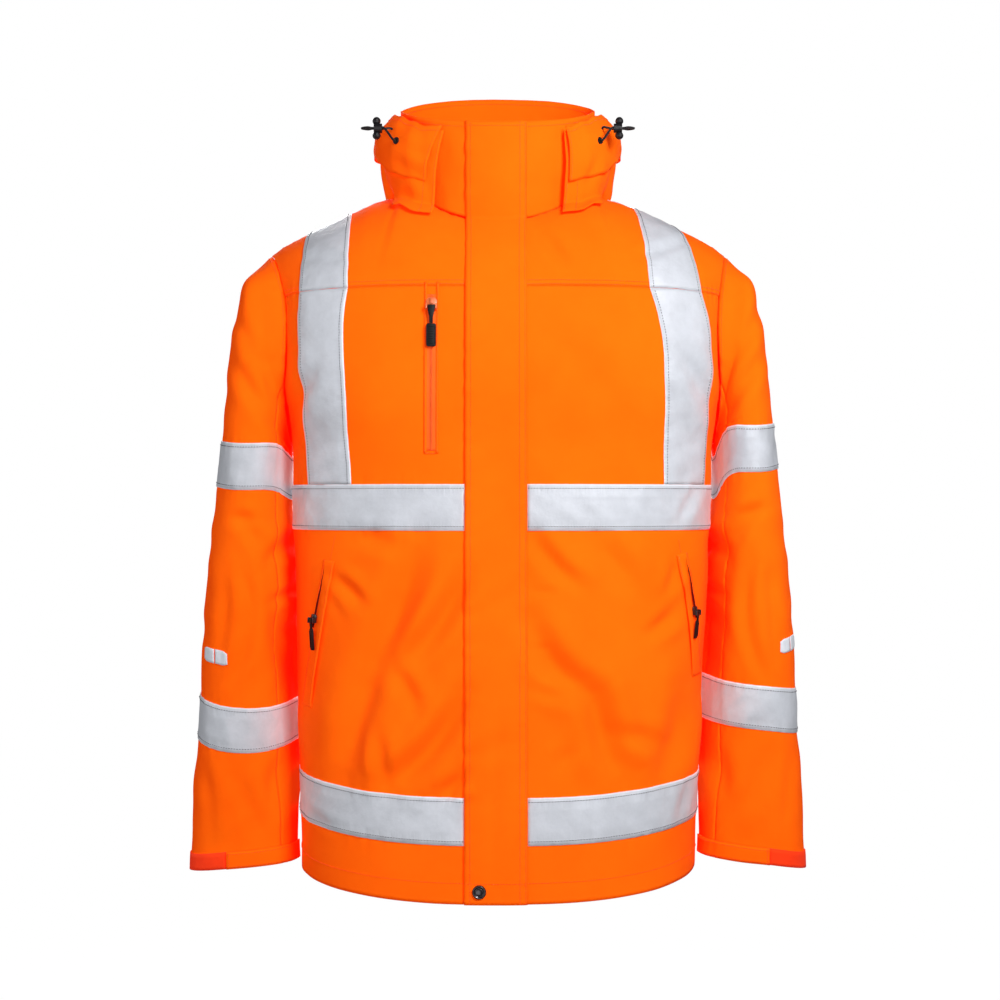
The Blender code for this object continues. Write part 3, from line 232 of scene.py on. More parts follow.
def angle_at(ring, distance):
    """The angle at which a ring's front is this far from its middle."""
    return math.asin(min(1.0, distance / ring.half_width) ** (ring.square / 2.0))


def spread(start, end, count):
    """The values after start, up to end, in equal steps."""
    return [start + (end - start) * (k + 1) / count for k in range(count)]


def brace_edges(row_name, side_name):
    """The two edges of a front shoulder tape on one row, inner edge first."""
    brace = BRACE.get(row_name, BRACE["chest_band_high"])
    return (brace.right_inner, brace.right_outer) if side_name == "right" else (
        brace.left_inner, brace.left_outer)


def outline_x(z):
    """Half the width over the sleeves at a height."""
    heights = [-point[1] for point in OUTLINE]
    return float(np.interp(-z, heights, [point[0] for point in OUTLINE]))


def inner_x(z):
    """Distance of a sleeve's inner edge from the middle at a height."""
    return float(np.interp(-z, [-p[1] for p in INNER_LINE], [p[0] for p in INNER_LINE]))


def shoulder_z(x):
    """Height of the shoulder seam at a distance from the neck."""
    return np.interp(x, [p[0] for p in OUTLINE[:12]], [p[1] for p in OUTLINE[:12]])


def centre_shift(z):
    """Sideways shift of the body's middle at a height."""
    return float(np.interp(z, [ring.side_z for ring in TORSO], [ring.centre_x for ring in TORSO]))


# ---------------------------------------------------------------- the body's smooth form
FLAP_COL, BRACE_IN, BRACE_OUT, FRONT_EDGE = 1, 5, 7, 11
BACK_IN, BACK_OUT, BACK_EDGE = 4, 6, 10
NECK_STEP = (32.0, 61.0, 90.0)
BACK_NECK_STEP = (180.0, 150.0, 120.0, 90.0)
MESH_STEP = 0.0042       # distance between points of the cloth
YOKE_DENSE = 34


def row_index(name):
    """The number of a torso row."""
    return next(k for k, ring in enumerate(TORSO) if ring.name == name)


def edge_angle(ring, front):
    """Where a ring's front or back ends: at the side seam, or at the armhole."""
    if ring.name not in ARMHOLE:
        return math.pi / 2
    y, depth = ((ARMHOLE[ring.name].front_y, ring.front_y) if front
                else (ARMHOLE[ring.name].back_y, ring.back_y))
    return math.acos((y / depth) ** (ring.square / 2.0))


def front_angles(ring, side_name, side):
    """Angles of the front's columns, from the zip to the side seam or armhole."""
    flap = abs((FLAP_RIGHT if side < 0 else FLAP_LEFT) - ring.centre_x)
    inner, outer = brace_edges(ring.name, side_name)
    start = angle_at(ring, ZIP_HALF - side * ring.centre_x)
    marks = [angle_at(ring, d) for d in (flap, inner, outer)]
    angles = [start, marks[0]]
    angles += spread(marks[0], marks[1], 4)
    angles += spread(marks[1], marks[2], 2)
    angles += spread(marks[2], edge_angle(ring, True), 4)
    return [side * angle for angle in angles]


def back_angles(ring, side):
    """Angles of the back's columns, from the middle of the back to the side seam or armhole."""
    inner, outer = (angle_at(ring, d) for d in (BACK_BRACE.right_inner, BACK_BRACE.right_outer))
    angles = [0.0] + spread(0.0, inner, 4) + spread(inner, outer, 2)
    angles += spread(outer, edge_angle(ring, False), 4)
    return [side * (math.pi - angle) for angle in angles]


ROW_SPANS = [abs(a.front_z - b.front_z) for a, b in zip(TORSO, TORSO[1:])]
ROW_PLACES = steps(ROW_SPANS, MESH_STEP)
FRONT_PLACES = steps([0.022] + [0.034] * 4 + [0.028] * 2 + [0.052] * 4, MESH_STEP)
BACK_PLACES = steps([0.030] * 4 + [0.027] * 2 + [0.048] * 4, MESH_STEP)


def panel_points(angle_rows, column_places):
    """A dense grid from the torso's rings and the angles of their columns."""
    fields = cubic([fields_of(ring) for ring in TORSO], ROW_PLACES)
    angles = cubic(cubic(angle_rows, ROW_PLACES).T, column_places).T
    return ring_points(fields[:, None, :], angles)


def yoke_tops(places, side_name, side, front):
    """The top ends of a yoke's columns: along the neck, and then along the shoulder seam."""
    seam_y = -0.0004 if front else 0.0004
    if front:
        flap = abs(FLAP_RIGHT if side < 0 else FLAP_LEFT)
        angles = [angle_at(NECK, ZIP_HALF), angle_at(NECK, flap)]
        angles += [math.radians(a) for a in NECK_STEP]
        inner, outer = brace_edges("shoulder", side_name)
    else:
        angles = [math.radians(a) for a in BACK_NECK_STEP]
        inner, outer = BACK_BRACE.right_inner + 0.012, BACK_BRACE.right_outer + 0.012
    corner = len(angles) - 1
    seam_x = [float(ring_point(NECK, angles[-1])[0]), inner] + spread(inner, outer, 2)
    seam_x += spread(outer, SHOULDER_X, 4)
    tops = []
    for place in places:
        if place <= corner:
            angle = np.interp(place, range(corner + 1), angles)
            top = ring_point(NECK, side * angle)
            top[1] += (seam_y - top[1]) * max(0.0, place - corner + 0.5) * 2 if place > corner - 0.5 else 0
        else:
            x = np.interp(place - corner, range(len(seam_x)), seam_x)
            top = np.array((side * x, seam_y, shoulder_z(x)))
        tops.append(top)
    return np.array(tops), corner


def yoke_points(seam_row, places, side_name, side, front):
    """A dense grid over the shoulder, curved between the yoke seam and the top seams."""
    top, corner = yoke_tops(places, side_name, side, front)
    turn = np.minimum(1.0, places / corner)[:, None]
    pull = np.concatenate((np.full_like(turn, 0.5), 0.40 - 0.20 * turn, 0.60 + 0.24 * turn), axis=1)
    middle = seam_row + (top - seam_row) * pull
    r = np.linspace(0, 1, YOKE_DENSE + 1)[:, None, None]
    return (1 - r) ** 2 * seam_row + 2 * r * (1 - r) * middle + r * r * top


# ---------------------------------------------------------------- creases
# A fold is a soft trough with a ridge beside it.  Its ends are given across and up, as seen from
# the front (x), the back (x) or the outer side of a sleeve (y).
Fold = namedtuple("Fold", "view across_a z_a across_b z_b bow width depth lean")


def fold_field(points, folds):
    """How far the folds move each point out of the cloth."""
    total = np.zeros(points.shape[:-1])
    x, y, z = np.moveaxis(points, -1, 0)
    for fold in folds:
        across = y if fold.view in ("outer_right", "outer_left") else x
        seen = {"front": y < 0.01, "back": y > -0.01, "outer_right": x < 0, "outer_left": x > 0}[fold.view]
        run = np.array((fold.across_b - fold.across_a, fold.z_b - fold.z_a))
        length = np.hypot(*run)
        run = run / length
        da, dz = across - fold.across_a, z - fold.z_a
        t = np.clip((da * run[0] + dz * run[1]) / length, 0.0, 1.0)
        beyond = (da * run[0] + dz * run[1]) / length - t
        side = (dz * run[0] - da * run[1] - fold.bow * 4 * t * (1 - t)) / fold.width
        end = np.exp(-(beyond * length / (fold.width * 1.2)) ** 2)
        strength = fold.depth * (0.25 + 0.75 * np.sin(math.pi * np.clip(t, 0.02, 0.98)) ** 0.8) * end
        shape = (-np.exp(-side ** 2) + 0.5 * (1 + fold.lean) * np.exp(-(side - 1.7) ** 2)
                 + 0.5 * (1 - fold.lean) * np.exp(-(side + 1.7) ** 2))
        total += np.where(seen, strength * shape, 0.0)
    return total


def waves(points, size, seed):
    """Gentle uneven swells of about this size, between -1 and 1."""
    chance = random.Random(seed)
    total = np.zeros(points.shape[:-1])
    for _ in range(7):
        direction = np.array([chance.gauss(0, 1) for _ in range(3)])
        direction /= np.linalg.norm(direction)
        stretch = chance.uniform(0.7, 1.5) * 2 * math.pi / size
        total += np.sin(points @ direction * stretch + chance.uniform(0, 6.28))
    return total / 4.2


def arc_lengths(points):
    """Distances along each row and up each column of a grid."""
    along = np.zeros(points.shape[:2])
    up = np.zeros(points.shape[:2])
    along[:, 1:] = np.cumsum(np.linalg.norm(np.diff(points, axis=1), axis=2), axis=1)
    up[1:] = np.cumsum(np.linalg.norm(np.diff(points, axis=0), axis=2), axis=0)
    return along, up


def normals_of(points, closed=False):
    """Unit normals of a dense grid, as column by row."""
    if closed:
        around = np.roll(points, -1, axis=1) - np.roll(points, 1, axis=1)
    else:
        around = np.gradient(points, axis=1)
    normal = np.cross(around, np.gradient(points, axis=0))
    length = np.linalg.norm(normal, axis=2, keepdims=True)
    return normal / np.maximum(length, 1e-12)


class Cloth:
    """A dense grid of one panel, with normals that point out, distances and its creases."""

    def __init__(self, points, flip, rows, columns, closed=False):
        self.points = points
        self.normals = normals_of(points, closed) * (-1.0 if flip else 1.0)
        self.flip, self.rows, self.columns, self.closed = flip, rows, columns, closed
        self.along, self.up = arc_lengths(points)
        self.rise = np.zeros(points.shape[:2])

    def seam(self, row=None, column=None, groove=0.0007, pucker=0.00035, pitch=0.011, seed=5):
        """Sinks the cloth into a seam and puckers it beside the stitches."""
        if row is not None:
            i = int(np.argmin(np.abs(self.rows - row)))
            distance, run = np.abs(self.up - self.up[i:i + 1]), self.along
        else:
            j = int(np.argmin(np.abs(self.columns - column)))
            distance, run = np.abs(self.along - self.along[:, j:j + 1]), self.up
        chance = random.Random(seed)
        wave = np.zeros_like(run)
        for _ in range(4):
            wave += np.sin(run * 2 * math.pi / (pitch * chance.uniform(0.7, 1.9)) + chance.uniform(0, 6))
        self.rise -= groove * np.exp(-(distance / 0.0022) ** 2)
        self.rise += pucker * wave * 0.5 * np.exp(-(distance / 0.010) ** 2)

    def block(self, rows=None, columns=None):
        """The slices of the grid between two row marks and two column marks."""
        def span(places, ends):
            if ends is None:
                return slice(0, len(places))
            low, high = (int(np.argmin(np.abs(places - end))) for end in ends)
            return slice(low, high + 1)
        return span(self.rows, rows), span(self.columns, columns)

    def lifted(self, out=0.0, rows=None, columns=None, extra=None):
        """Points of a block, creased and moved out."""
        area = self.block(rows, columns)
        rise = self.rise[area] + out
        if extra is not None:
            rise = rise + extra
        return self.points[area] + self.normals[area] * rise[..., None]


# ---------------------------------------------------------------- pieces of cloth
def bend_border(points, low=0.0, high=0.0, start=0.0, end=0.0):
    """The grid with its borders drawn in by these distances."""
    points = points.copy()

    def drawn(edge, inner, distance):
        run = inner - edge
        return edge + run / np.linalg.norm(run, axis=-1, keepdims=True) * distance

    if low:
        points[0] = drawn(points[0], points[1], low)
    if high:
        points[-1] = drawn(points[-1], points[-2], high)
    if start:
        points[:, 0] = drawn(points[:, 0], points[:, 1], start)
    if end:
        points[:, -1] = drawn(points[:, -1], points[:, -2], end)
    return points


def mesh_piece(name, vertices, faces, look, body="jacket", smooth=True):
    """A mesh object with one material, riding on a body."""
    mesh = bpy.data.meshes.new(name)
    mesh.from_pydata(vertices, [], faces)
    mesh.materials.append(look)
    if smooth:
        mesh.shade_smooth()
    obj = bpy.data.objects.new(name, mesh)
    bpy.context.scene.collection.objects.link(obj)
    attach(obj, body)
    return obj


def cut_size(points, closed=False):
    """Width, length and area measured along a finished grid, with its folds."""
    ring = np.concatenate((points, points[:, :1]), axis=1) if closed else points
    along, up = arc_lengths(ring)
    width, length = float(along[:, -1].max()), float(up[-1].max())
    a = np.cross(ring[1:, 1:] - ring[:-1, :-1], ring[1:, :-1] - ring[:-1, 1:])
    return width, length, min(float(np.linalg.norm(a, axis=2).sum() / 2), width * length)


def cloth_piece(name, points, flip, thickness, look, replaced, closed=False):
    """A grid of quads with a thin wall and UVs in metres; its size is measured on it, and the CAD nodes it
    replaces are hidden.
    """
    rows, columns = points.shape[:2]
    i, j = np.meshgrid(np.arange(rows - 1), np.arange(columns if closed else columns - 1), indexing="ij")
    a, b = i * columns + j, i * columns + (j + 1) % columns
    quads = np.stack((a, b, b + columns, a + columns), axis=-1).reshape(-1, 4)
    if flip:
        quads = quads[:, ::-1]
    obj = mesh_piece(name, points.reshape(-1, 3).tolist(), quads.tolist(), look)
    ring = np.concatenate((points, points[:, :1]), axis=1) if closed else points
    along, up = arc_lengths(ring)
    width = ring.shape[1]
    mesh_uv = obj.data.uv_layers.new(name="cloth")
    corner_row, corner_column = i[..., None] + [0, 0, 1, 1], j[..., None] + [0, 1, 1, 0]
    uv = np.stack((along[corner_row, corner_column % width], up[corner_row, corner_column % width]), -1)
    uv = uv.reshape(-1, 4, 2)
    if flip:
        uv = uv[:, ::-1]
    mesh_uv.data.foreach_set("uv", uv.reshape(-1).astype(np.float32))
    wall = obj.modifiers.new("wall", "SOLIDIFY")
    wall.thickness = thickness
    wall.offset = 0.0
    for node in replaced:
        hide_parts(node)
    if not replaced:
        return obj
    width, length, area = cut_size(points, closed)
    return obj


stitch_lines = {"orange": [], "grey": []}


def border_line(points, distance, border):
    """The line that runs at a distance inside one border of a grid, with its normals."""
    if border in ("start", "end"):
        points = points.transpose(1, 0, 2)
    if border in ("high", "end"):
        points = points[::-1]
    up = np.zeros(points.shape[:2])
    up[1:] = np.cumsum(np.linalg.norm(np.diff(points, axis=0), axis=2), axis=0)
    line = np.empty((points.shape[1], 3))
    for k in range(points.shape[1]):
        for axis in range(3):
            line[k, axis] = np.interp(distance, up[:, k], points[:, k, axis])
    return line


def stitch(points, normals, colour, *places):
    """Notes stitch lines at distances inside a piece's borders."""
    for border, distance in places:
        line = border_line(points, distance, border)
        out = border_line(points + normals * 0.01, distance, border) - line
        out /= np.linalg.norm(out, axis=1, keepdims=True)
        stitch_lines[colour].append((line, out))


STITCH_PITCH = 0.0031
STITCH_LENGTH = 0.0023
STITCH_HALF = 0.00040


def make_stitches(colour, look):
    """All stitches of one thread colour, as one mesh of short round-ended bars."""
    vertices, faces = [], []
    for line, out in stitch_lines[colour]:
        run = np.zeros(len(line))
        run[1:] = np.cumsum(np.linalg.norm(np.diff(line, axis=0), axis=1))
        count = int(run[-1] / STITCH_PITCH)
        if count < 2:
            continue
        middle = (np.arange(count) + 0.5) * STITCH_PITCH
        read = lambda data, at: np.stack([np.interp(at, run, data[:, k]) for k in range(3)], axis=1)
        a, b = read(line, middle - STITCH_LENGTH / 2), read(line, middle + STITCH_LENGTH / 2)
        up = read(out, middle)
        along = (b - a) / np.linalg.norm(b - a, axis=1, keepdims=True)
        side = np.cross(along, up)
        lift = up * STITCH_HALF
        for p, q, s, h in zip(a, b, side * STITCH_HALF, lift):
            base = len(vertices)
            m, n = p + (q - p) * 0.25 + h, p + (q - p) * 0.75 + h
            vertices += [p - h, m + s, m + h * 0.7, m - s, n + s, n + h * 0.7, n - s, q - h]
            faces += [(base, base + 2, base + 1), (base, base + 3, base + 2),
                      (base + 1, base + 2, base + 5, base + 4), (base + 2, base + 3, base + 6, base + 5),
                      (base + 7, base + 4, base + 5), (base + 7, base + 5, base + 6),
                      (base, base + 1, base + 4, base + 7), (base, base + 7, base + 6, base + 3)]
    return mesh_piece(f"stitches_{colour}", [tuple(v) for v in vertices], faces, look)


# ---------------------------------------------------------------- materials
def nodes_of(material):
    """The node tree of a material and its shader."""
    material.use_nodes = True
    tree = material.node_tree
    return tree, tree.nodes["Principled BSDF"]


def mapped(tree, scale, kind="UV"):
    """Surface coordinates in metres, or object coordinates, scaled."""
    place = tree.nodes.new("ShaderNodeTexCoord")
    mapping = tree.nodes.new("ShaderNodeMapping")
    mapping.inputs["Scale"].default_value = (scale, scale, scale)
    tree.links.new(place.outputs[kind], mapping.inputs["Vector"])
    return mapping.outputs["Vector"]


def noise(tree, vector, scale, detail=3.0, roughness=0.55):
    """A noise texture's value."""
    made = tree.nodes.new("ShaderNodeTexNoise")
    made.inputs["Scale"].default_value = scale
    made.inputs["Detail"].default_value = detail
    made.inputs["Roughness"].default_value = roughness
    tree.links.new(vector, made.inputs["Vector"])
    return made.outputs["Fac"]


def ramp(tree, value, low, high, low_colour, high_colour):
    """A colour that runs from one to another as the value rises."""
    made = tree.nodes.new("ShaderNodeValToRGB")
    made.color_ramp.elements[0].position = low
    made.color_ramp.elements[1].position = high
    made.color_ramp.elements[0].color = (*low_colour, 1.0)
    made.color_ramp.elements[1].color = (*high_colour, 1.0)
    tree.links.new(value, made.inputs["Fac"])
    return made.outputs["Color"]


def bumped(tree, value, distance, strength, before=None):
    """A bump from a value, on top of another bump."""
    made = tree.nodes.new("ShaderNodeBump")
    made.inputs["Distance"].default_value = distance
    made.inputs["Strength"].default_value = strength
    tree.links.new(value, made.inputs["Height"])
    if before is not None:
        tree.links.new(before, made.inputs["Normal"])
    return made.outputs["Normal"]


def combined(tree, kind, a, b):
    """One arithmetic step; b may be a number."""
    made = tree.nodes.new("ShaderNodeMath")
    made.operation = kind
    tree.links.new(a, made.inputs[0])
    if isinstance(b, float):
        made.inputs[1].default_value = b
    else:
        tree.links.new(b, made.inputs[1])
    return made.outputs["Value"]


def stepped(tree, value, low, high):
    """A value that rises from 0 to 1 between two marks."""
    made = tree.nodes.new("ShaderNodeMapRange")
    made.interpolation_type = "SMOOTHSTEP"
    made.inputs["From Min"].default_value = low
    made.inputs["From Max"].default_value = high
    tree.links.new(value, made.inputs["Value"])
    return made.outputs["Result"]


def thread_wave(tree, vector, direction):
    """A wave across the threads that run one way."""
    made = tree.nodes.new("ShaderNodeTexWave")
    made.wave_type = "BANDS"
    made.bands_direction = direction
    made.wave_profile = "SIN"
    made.inputs["Scale"].default_value = 1.0
    tree.links.new(vector, made.inputs["Vector"])
    return made.outputs["Fac"]


def woven(name, dark, light, pitch, roughness, glow=(0, 0, 0), glow_strength=0.0, sheen=0.15,
          crumple=0.0004):
    """Cloth: uneven colour, a plain weave at its real pitch, and fine crumples; a glow, where one is given,
    is painted light that keeps the cloth bright in shade.
    """
    material = bpy.data.materials.new(name)
    tree, shader = nodes_of(material)
    place = mapped(tree, 1.0, "Object")
    tone = noise(tree, place, 9.0, 4.0)
    tree.links.new(ramp(tree, tone, 0.3, 0.7, dark, light), shader.inputs["Base Color"])
    threads = mapped(tree, 0.5 / pitch)
    weave = combined(tree, "MULTIPLY", thread_wave(tree, threads, "X"), thread_wave(tree, threads, "Y"))
    crumples = noise(tree, place, 55.0, 5.0, 0.6)
    soft = noise(tree, place, 14.0, 2.0, 0.5)
    normal = bumped(tree, soft, crumple * 6, 0.5)
    normal = bumped(tree, crumples, crumple * 2, 0.6, normal)
    tree.links.new(bumped(tree, weave, 0.00012, 0.5, normal), shader.inputs["Normal"])
    shader.inputs["Roughness"].default_value = roughness
    shader.inputs["Specular IOR Level"].default_value = 0.04
    shader.inputs["Sheen Weight"].default_value = sheen
    shader.inputs["Sheen Roughness"].default_value = 0.5
    shader.inputs["Emission Color"].default_value = (*glow, 1.0)
    shader.inputs["Emission Strength"].default_value = glow_strength
    return material


def reflective(name, run="X"):
    """Retroreflective tape: a grey film with a fine weave, puckered and pale along its two edges, with a
    faint bluish glow of painted light.
    """
    material = bpy.data.materials.new(name)
    tree, shader = nodes_of(material)
    place = mapped(tree, 1.0, "Object")
    tone = noise(tree, place, 30.0, 5.0, 0.65)
    film = ramp(tree, tone, 0.3, 0.75, (0.47, 0.485, 0.53), (0.60, 0.62, 0.675))
    flat = tree.nodes.new("ShaderNodeTexCoord")
    inside = tree.nodes.new("ShaderNodeAttribute")
    inside.attribute_name = "inside"
    inside = inside.outputs["Fac"]
    edge = tree.nodes.new("ShaderNodeMix")
    edge.data_type = "RGBA"
    tree.links.new(stepped(tree, inside, 0.0008, 0.0020), edge.inputs["Factor"])
    edge.inputs[6].default_value = (0.74, 0.76, 0.82, 1.0)
    tree.links.new(film, edge.inputs[7])
    tree.links.new(edge.outputs[2], shader.inputs["Base Color"])
    threads = mapped(tree, 0.5 / 0.0007)
    weave = combined(tree, "MULTIPLY", thread_wave(tree, threads, "X"), thread_wave(tree, threads, "Y"))
    creases = noise(tree, place, 38.0, 4.0, 0.6)
    stretched = tree.nodes.new("ShaderNodeMapping")
    stretched.inputs["Scale"].default_value = (170.0, 30.0, 1.0) if run == "X" else (30.0, 170.0, 1.0)
    tree.links.new(flat.outputs["UV"], stretched.inputs["Vector"])
    puckers = noise(tree, stretched.outputs["Vector"], 1.0, 2.0, 0.5)
    border = combined(tree, "SUBTRACT", stepped(tree, inside, 0.0050, 0.0150), 1.0)
    puckers = combined(tree, "MULTIPLY", puckers, border)
    normal = bumped(tree, creases, 0.0020, 0.6)
    normal = bumped(tree, puckers, 0.0016, 0.7, normal)
    tree.links.new(bumped(tree, weave, 0.0001, 0.4, normal), shader.inputs["Normal"])
    shader.inputs["Metallic"].default_value = 0.05
    shader.inputs["Roughness"].default_value = 0.45
    shader.inputs["Specular IOR Level"].default_value = 0.35
    # Painted light: a faint bluish glow that keeps the tape bright in shade.
    shader.inputs["Emission Color"].default_value = (0.90, 0.93, 1.0, 1.0)
    shader.inputs["Emission Strength"].default_value = 0.12
    return material


def hard(name, colour, roughness, metallic=0.0, grain=900.0, depth=0.00008, coat=0.0, shine=0.5):
    """Moulded plastic, rubber or enamelled metal, with a fine grain."""
    material = bpy.data.materials.new(name)
    tree, shader = nodes_of(material)
    place = mapped(tree, 1.0, "Object")
    fine = noise(tree, place, grain, 2.0)
    dark = tuple(c * 0.7 for c in colour)
    tree.links.new(ramp(tree, fine, 0.3, 0.7, dark, colour), shader.inputs["Base Color"])
    tree.links.new(bumped(tree, fine, depth, 0.6), shader.inputs["Normal"])
    shader.inputs["Roughness"].default_value = roughness
    shader.inputs["Metallic"].default_value = metallic
    shader.inputs["Specular IOR Level"].default_value = shine
    shader.inputs["Coat Weight"].default_value = coat
    return material


# Painted light: the orange cloth's red glow keeps its red bright in shade, in place of the fluorescence of
# hi-vis cloth.
ORANGE = woven("orange_cloth", (0.94, 0.155, 0.002), (1.0, 0.184, 0.003), 0.0007, 0.85,
               glow=(1.0, 0.004, 0.0), glow_strength=0.34, sheen=0.01)
SILVER = reflective("reflective_tape")
SILVER_UPRIGHT = reflective("reflective_tape_upright", "Y")
# Painted light: a red glow keeps the zip tape bright in shade.
ZIP_TAPE = woven("zip_tape", (0.88, 0.12, 0.014), (1.0, 0.17, 0.022), 0.0009, 0.7,
                 glow=(1.0, 0.04, 0.003), glow_strength=0.3, sheen=0.03)
# Painted shadow: a near-black red sheet that stands for the shade inside the hand pockets' mouths.
PAINTED_POCKET_SHADOW = woven("painted_pocket_shadow", (0.10, 0.004, 0.004), (0.17, 0.008, 0.006), 0.0007, 0.9, sheen=0.0)
ZIP_COIL = hard("zip_coil", (1.0, 0.17, 0.03), 0.5, grain=500.0, shine=0.3)
# Painted light: a red glow keeps the hook strip bright in shade.
HOOKS = woven("hook_strip", (0.88, 0.055, 0.008), (1.0, 0.075, 0.014), 0.0012, 0.95,
              glow=(1.0, 0.003, 0.002), glow_strength=0.3, sheen=0.06, crumple=0.0008)
# Painted light: a red glow keeps the orange thread bright in shade.
ORANGE_THREAD = woven("orange_thread", (0.90, 0.09, 0.004), (1.0, 0.13, 0.01), 0.0004, 0.6,
                      glow=(1.0, 0.02, 0.0), glow_strength=0.25)
GREY_THREAD = woven("grey_thread", (0.11, 0.105, 0.12), (0.17, 0.16, 0.18), 0.0004, 0.7, sheen=0.0)
BLACK_RUBBER = hard("black_rubber", (0.008, 0.006, 0.007), 0.5, shine=0.22)
BLACK_PLASTIC = hard("black_plastic", (0.012, 0.010, 0.012), 0.42, shine=0.35)
BLACK_METAL = hard("black_metal", (0.045, 0.035, 0.040), 0.3, metallic=0.6, coat=0.4)
BLACK_CORD = woven("black_cord", (0.012, 0.011, 0.012), (0.03, 0.028, 0.03), 0.0006, 0.7)
ORANGE_METAL = hard("orange_slider", (0.95, 0.20, 0.06), 0.4, metallic=0.1, coat=0.3)

# ---------------------------------------------------------------- the creases, placed one by one
BODY_FOLDS = [Fold(*row) for row in (
    # right front below the chest tape: drapes that slant from the flap down to the side
    ("front", -0.084, -0.392, -0.140, -0.545, 0.004, 0.0170, 0.0056, 0.3),
    ("front", -0.136, -0.530, -0.168, -0.640, 0.000, 0.0170, 0.0056, 0.3),
    ("front", -0.036, -0.432, -0.104, -0.530, 0.006, 0.0120, 0.0046, -0.2),
    ("front", -0.036, -0.558, -0.112, -0.650, 0.008, 0.0125, 0.0056, -0.3),
    ("front", -0.180, -0.434, -0.145, -0.462, 0.002, 0.0075, 0.0030, 0.2),
    ("front", -0.186, -0.450, -0.168, -0.482, 0.000, 0.0055, 0.0014, 0.2),
    ("front", -0.108, -0.532, -0.087, -0.574, 0.002, 0.0090, 0.0022, 0.6),
    ("front", -0.125, -0.598, -0.122, -0.650, 0.000, 0.0080, 0.0026, 0.0),
    ("front", -0.036, -0.640, -0.058, -0.664, 0.000, 0.0080, 0.0034, 0.0),
    ("front", -0.150, -0.392, -0.110, -0.400, 0.003, 0.0100, 0.0022, 0.0),
    # left front below the chest tape
    ("front", 0.038, -0.388, 0.084, -0.440, -0.004, 0.0090, 0.0036, 0.3),
    ("front", 0.036, -0.482, 0.104, -0.562, -0.010, 0.0140, 0.0050, 0.3),
    ("front", 0.100, -0.545, 0.132, -0.646, -0.004, 0.0150, 0.0056, 0.3),
    ("front", 0.104, -0.395, 0.150, -0.452, 0.004, 0.0130, 0.0026, 0.3),
    ("front", 0.196, -0.416, 0.184, -0.456, 0.002, 0.0075, 0.0026, 0.2),
    ("front", 0.206, -0.458, 0.167, -0.492, 0.003, 0.0085, 0.0038, 0.2),
    ("front", 0.036, -0.548, 0.074, -0.562, -0.002, 0.0070, 0.0016, 0.2),
    ("front", 0.036, -0.446, 0.062, -0.449, 0.000, 0.0040, 0.0007, 0.2),
    ("front", 0.036, -0.507, 0.056, -0.508, 0.000, 0.0040, 0.0007, 0.2),
    ("front", 0.128, -0.598, 0.176, -0.616, 0.002, 0.0100, 0.0022, 0.2),
    ("front", 0.205, -0.560, 0.180, -0.652, 0.004, 0.0160, 0.0040, 0.2),
    ("front", 0.066, -0.634, 0.080, -0.610, 0.000, 0.0090, 0.0016, 0.2),
    # chest and shoulders
    ("front", -0.232, -0.262, -0.196, -0.200, 0.002, 0.0100, 0.0022, 0.2),
    ("front", 0.234, -0.250, 0.200, -0.190, -0.002, 0.0100, 0.0022, -0.2),
    ("front", -0.150, -0.310, -0.052, -0.175, 0.006, 0.0200, 0.0016, 0.0),
    ("front", 0.150, -0.300, 0.050, -0.160, -0.006, 0.0200, 0.0016, 0.0),
    ("front", 0.040, -0.052, 0.075, -0.100, 0.003, 0.0080, 0.0016, 0.2),
    ("front", -0.215, -0.080, -0.160, -0.094, 0.002, 0.0060, 0.0012, 0.2),
    ("front", 0.205, -0.062, 0.150, -0.084, 0.002, 0.0060, 0.0014, 0.2),
    ("front", 0.222, -0.330, 0.196, -0.378, 0.000, 0.0060, 0.0014, 0.2),
    ("front", -0.212, -0.690, -0.180, -0.705, 0.000, 0.0060, 0.0012, 0.2),
    ("front", 0.208, -0.660, 0.196, -0.700, 0.000, 0.0060, 0.0014, 0.2),
    # back: fullness below the shoulder blades and drapes towards the hem
    ("back", -0.200, -0.270, -0.070, -0.190, 0.010, 0.0180, 0.0040, 0.2),
    ("back", 0.200, -0.260, 0.080, -0.190, -0.010, 0.0180, 0.0040, -0.2),
    ("back", -0.170, -0.650, -0.080, -0.400, 0.008, 0.0180, 0.0052, 0.2),
    ("back", 0.180, -0.650, 0.080, -0.410, -0.008, 0.0180, 0.0052, -0.2),
    ("back", -0.040, -0.640, 0.012, -0.400, 0.006, 0.0170, 0.0040, 0.0),
    ("back", 0.090, -0.560, 0.030, -0.400, 0.004, 0.0130, 0.0034, 0.0),
    ("back", -0.120, -0.560, -0.050, -0.430, 0.004, 0.0120, 0.0030, 0.0),
    ("back", 0.060, -0.330, 0.010, -0.190, 0.004, 0.0150, 0.0024, 0.3),
)]
# Calm places, where hard parts lie on the cloth: across, z, reach.
CALM = ((-0.0715, -0.150, 0.045), (-0.0715, -0.200, 0.040), (-0.0715, -0.270, 0.030),
        (-0.0195, -0.761, 0.025), (-0.200, -0.480, 0.035), (0.217, -0.472, 0.035))


FOLD_DEPTH = 1.9
SIDE_EASE = 0.0008       # the body's cloth lies this much closer in at the sides


def body_rise(points, swell=0.0012):
    """Creases of the body's cloth at these points."""
    rise = FOLD_DEPTH * fold_field(points, BODY_FOLDS)
    rise += swell * waves(points, 0.17, 3) + 0.4 * swell * waves(points, 0.06, 4)
    below = np.clip((-0.300 - points[..., 2]) / 0.05, 0, 1)
    rise -= SIDE_EASE * below * np.clip((np.abs(points[..., 0]) - 0.185) / 0.035, 0, 1)
    for across, z, reach in CALM:
        distance = np.hypot(points[..., 0] - across, points[..., 2] - z)
        hold = np.where(points[..., 1] < 0, np.exp(-(distance / reach) ** 2), 0.0)
        rise *= 1.0 - hold
    return rise


TAPE_RISE = CLOTH / 2 + 0.0002 + TAPE_CLOTH / 2
TAPE_SLACK = 0.0004      # more room under a tape, for its crinkles
TAPE_STITCH = 0.0045     # from a tape's edge to its stitch row


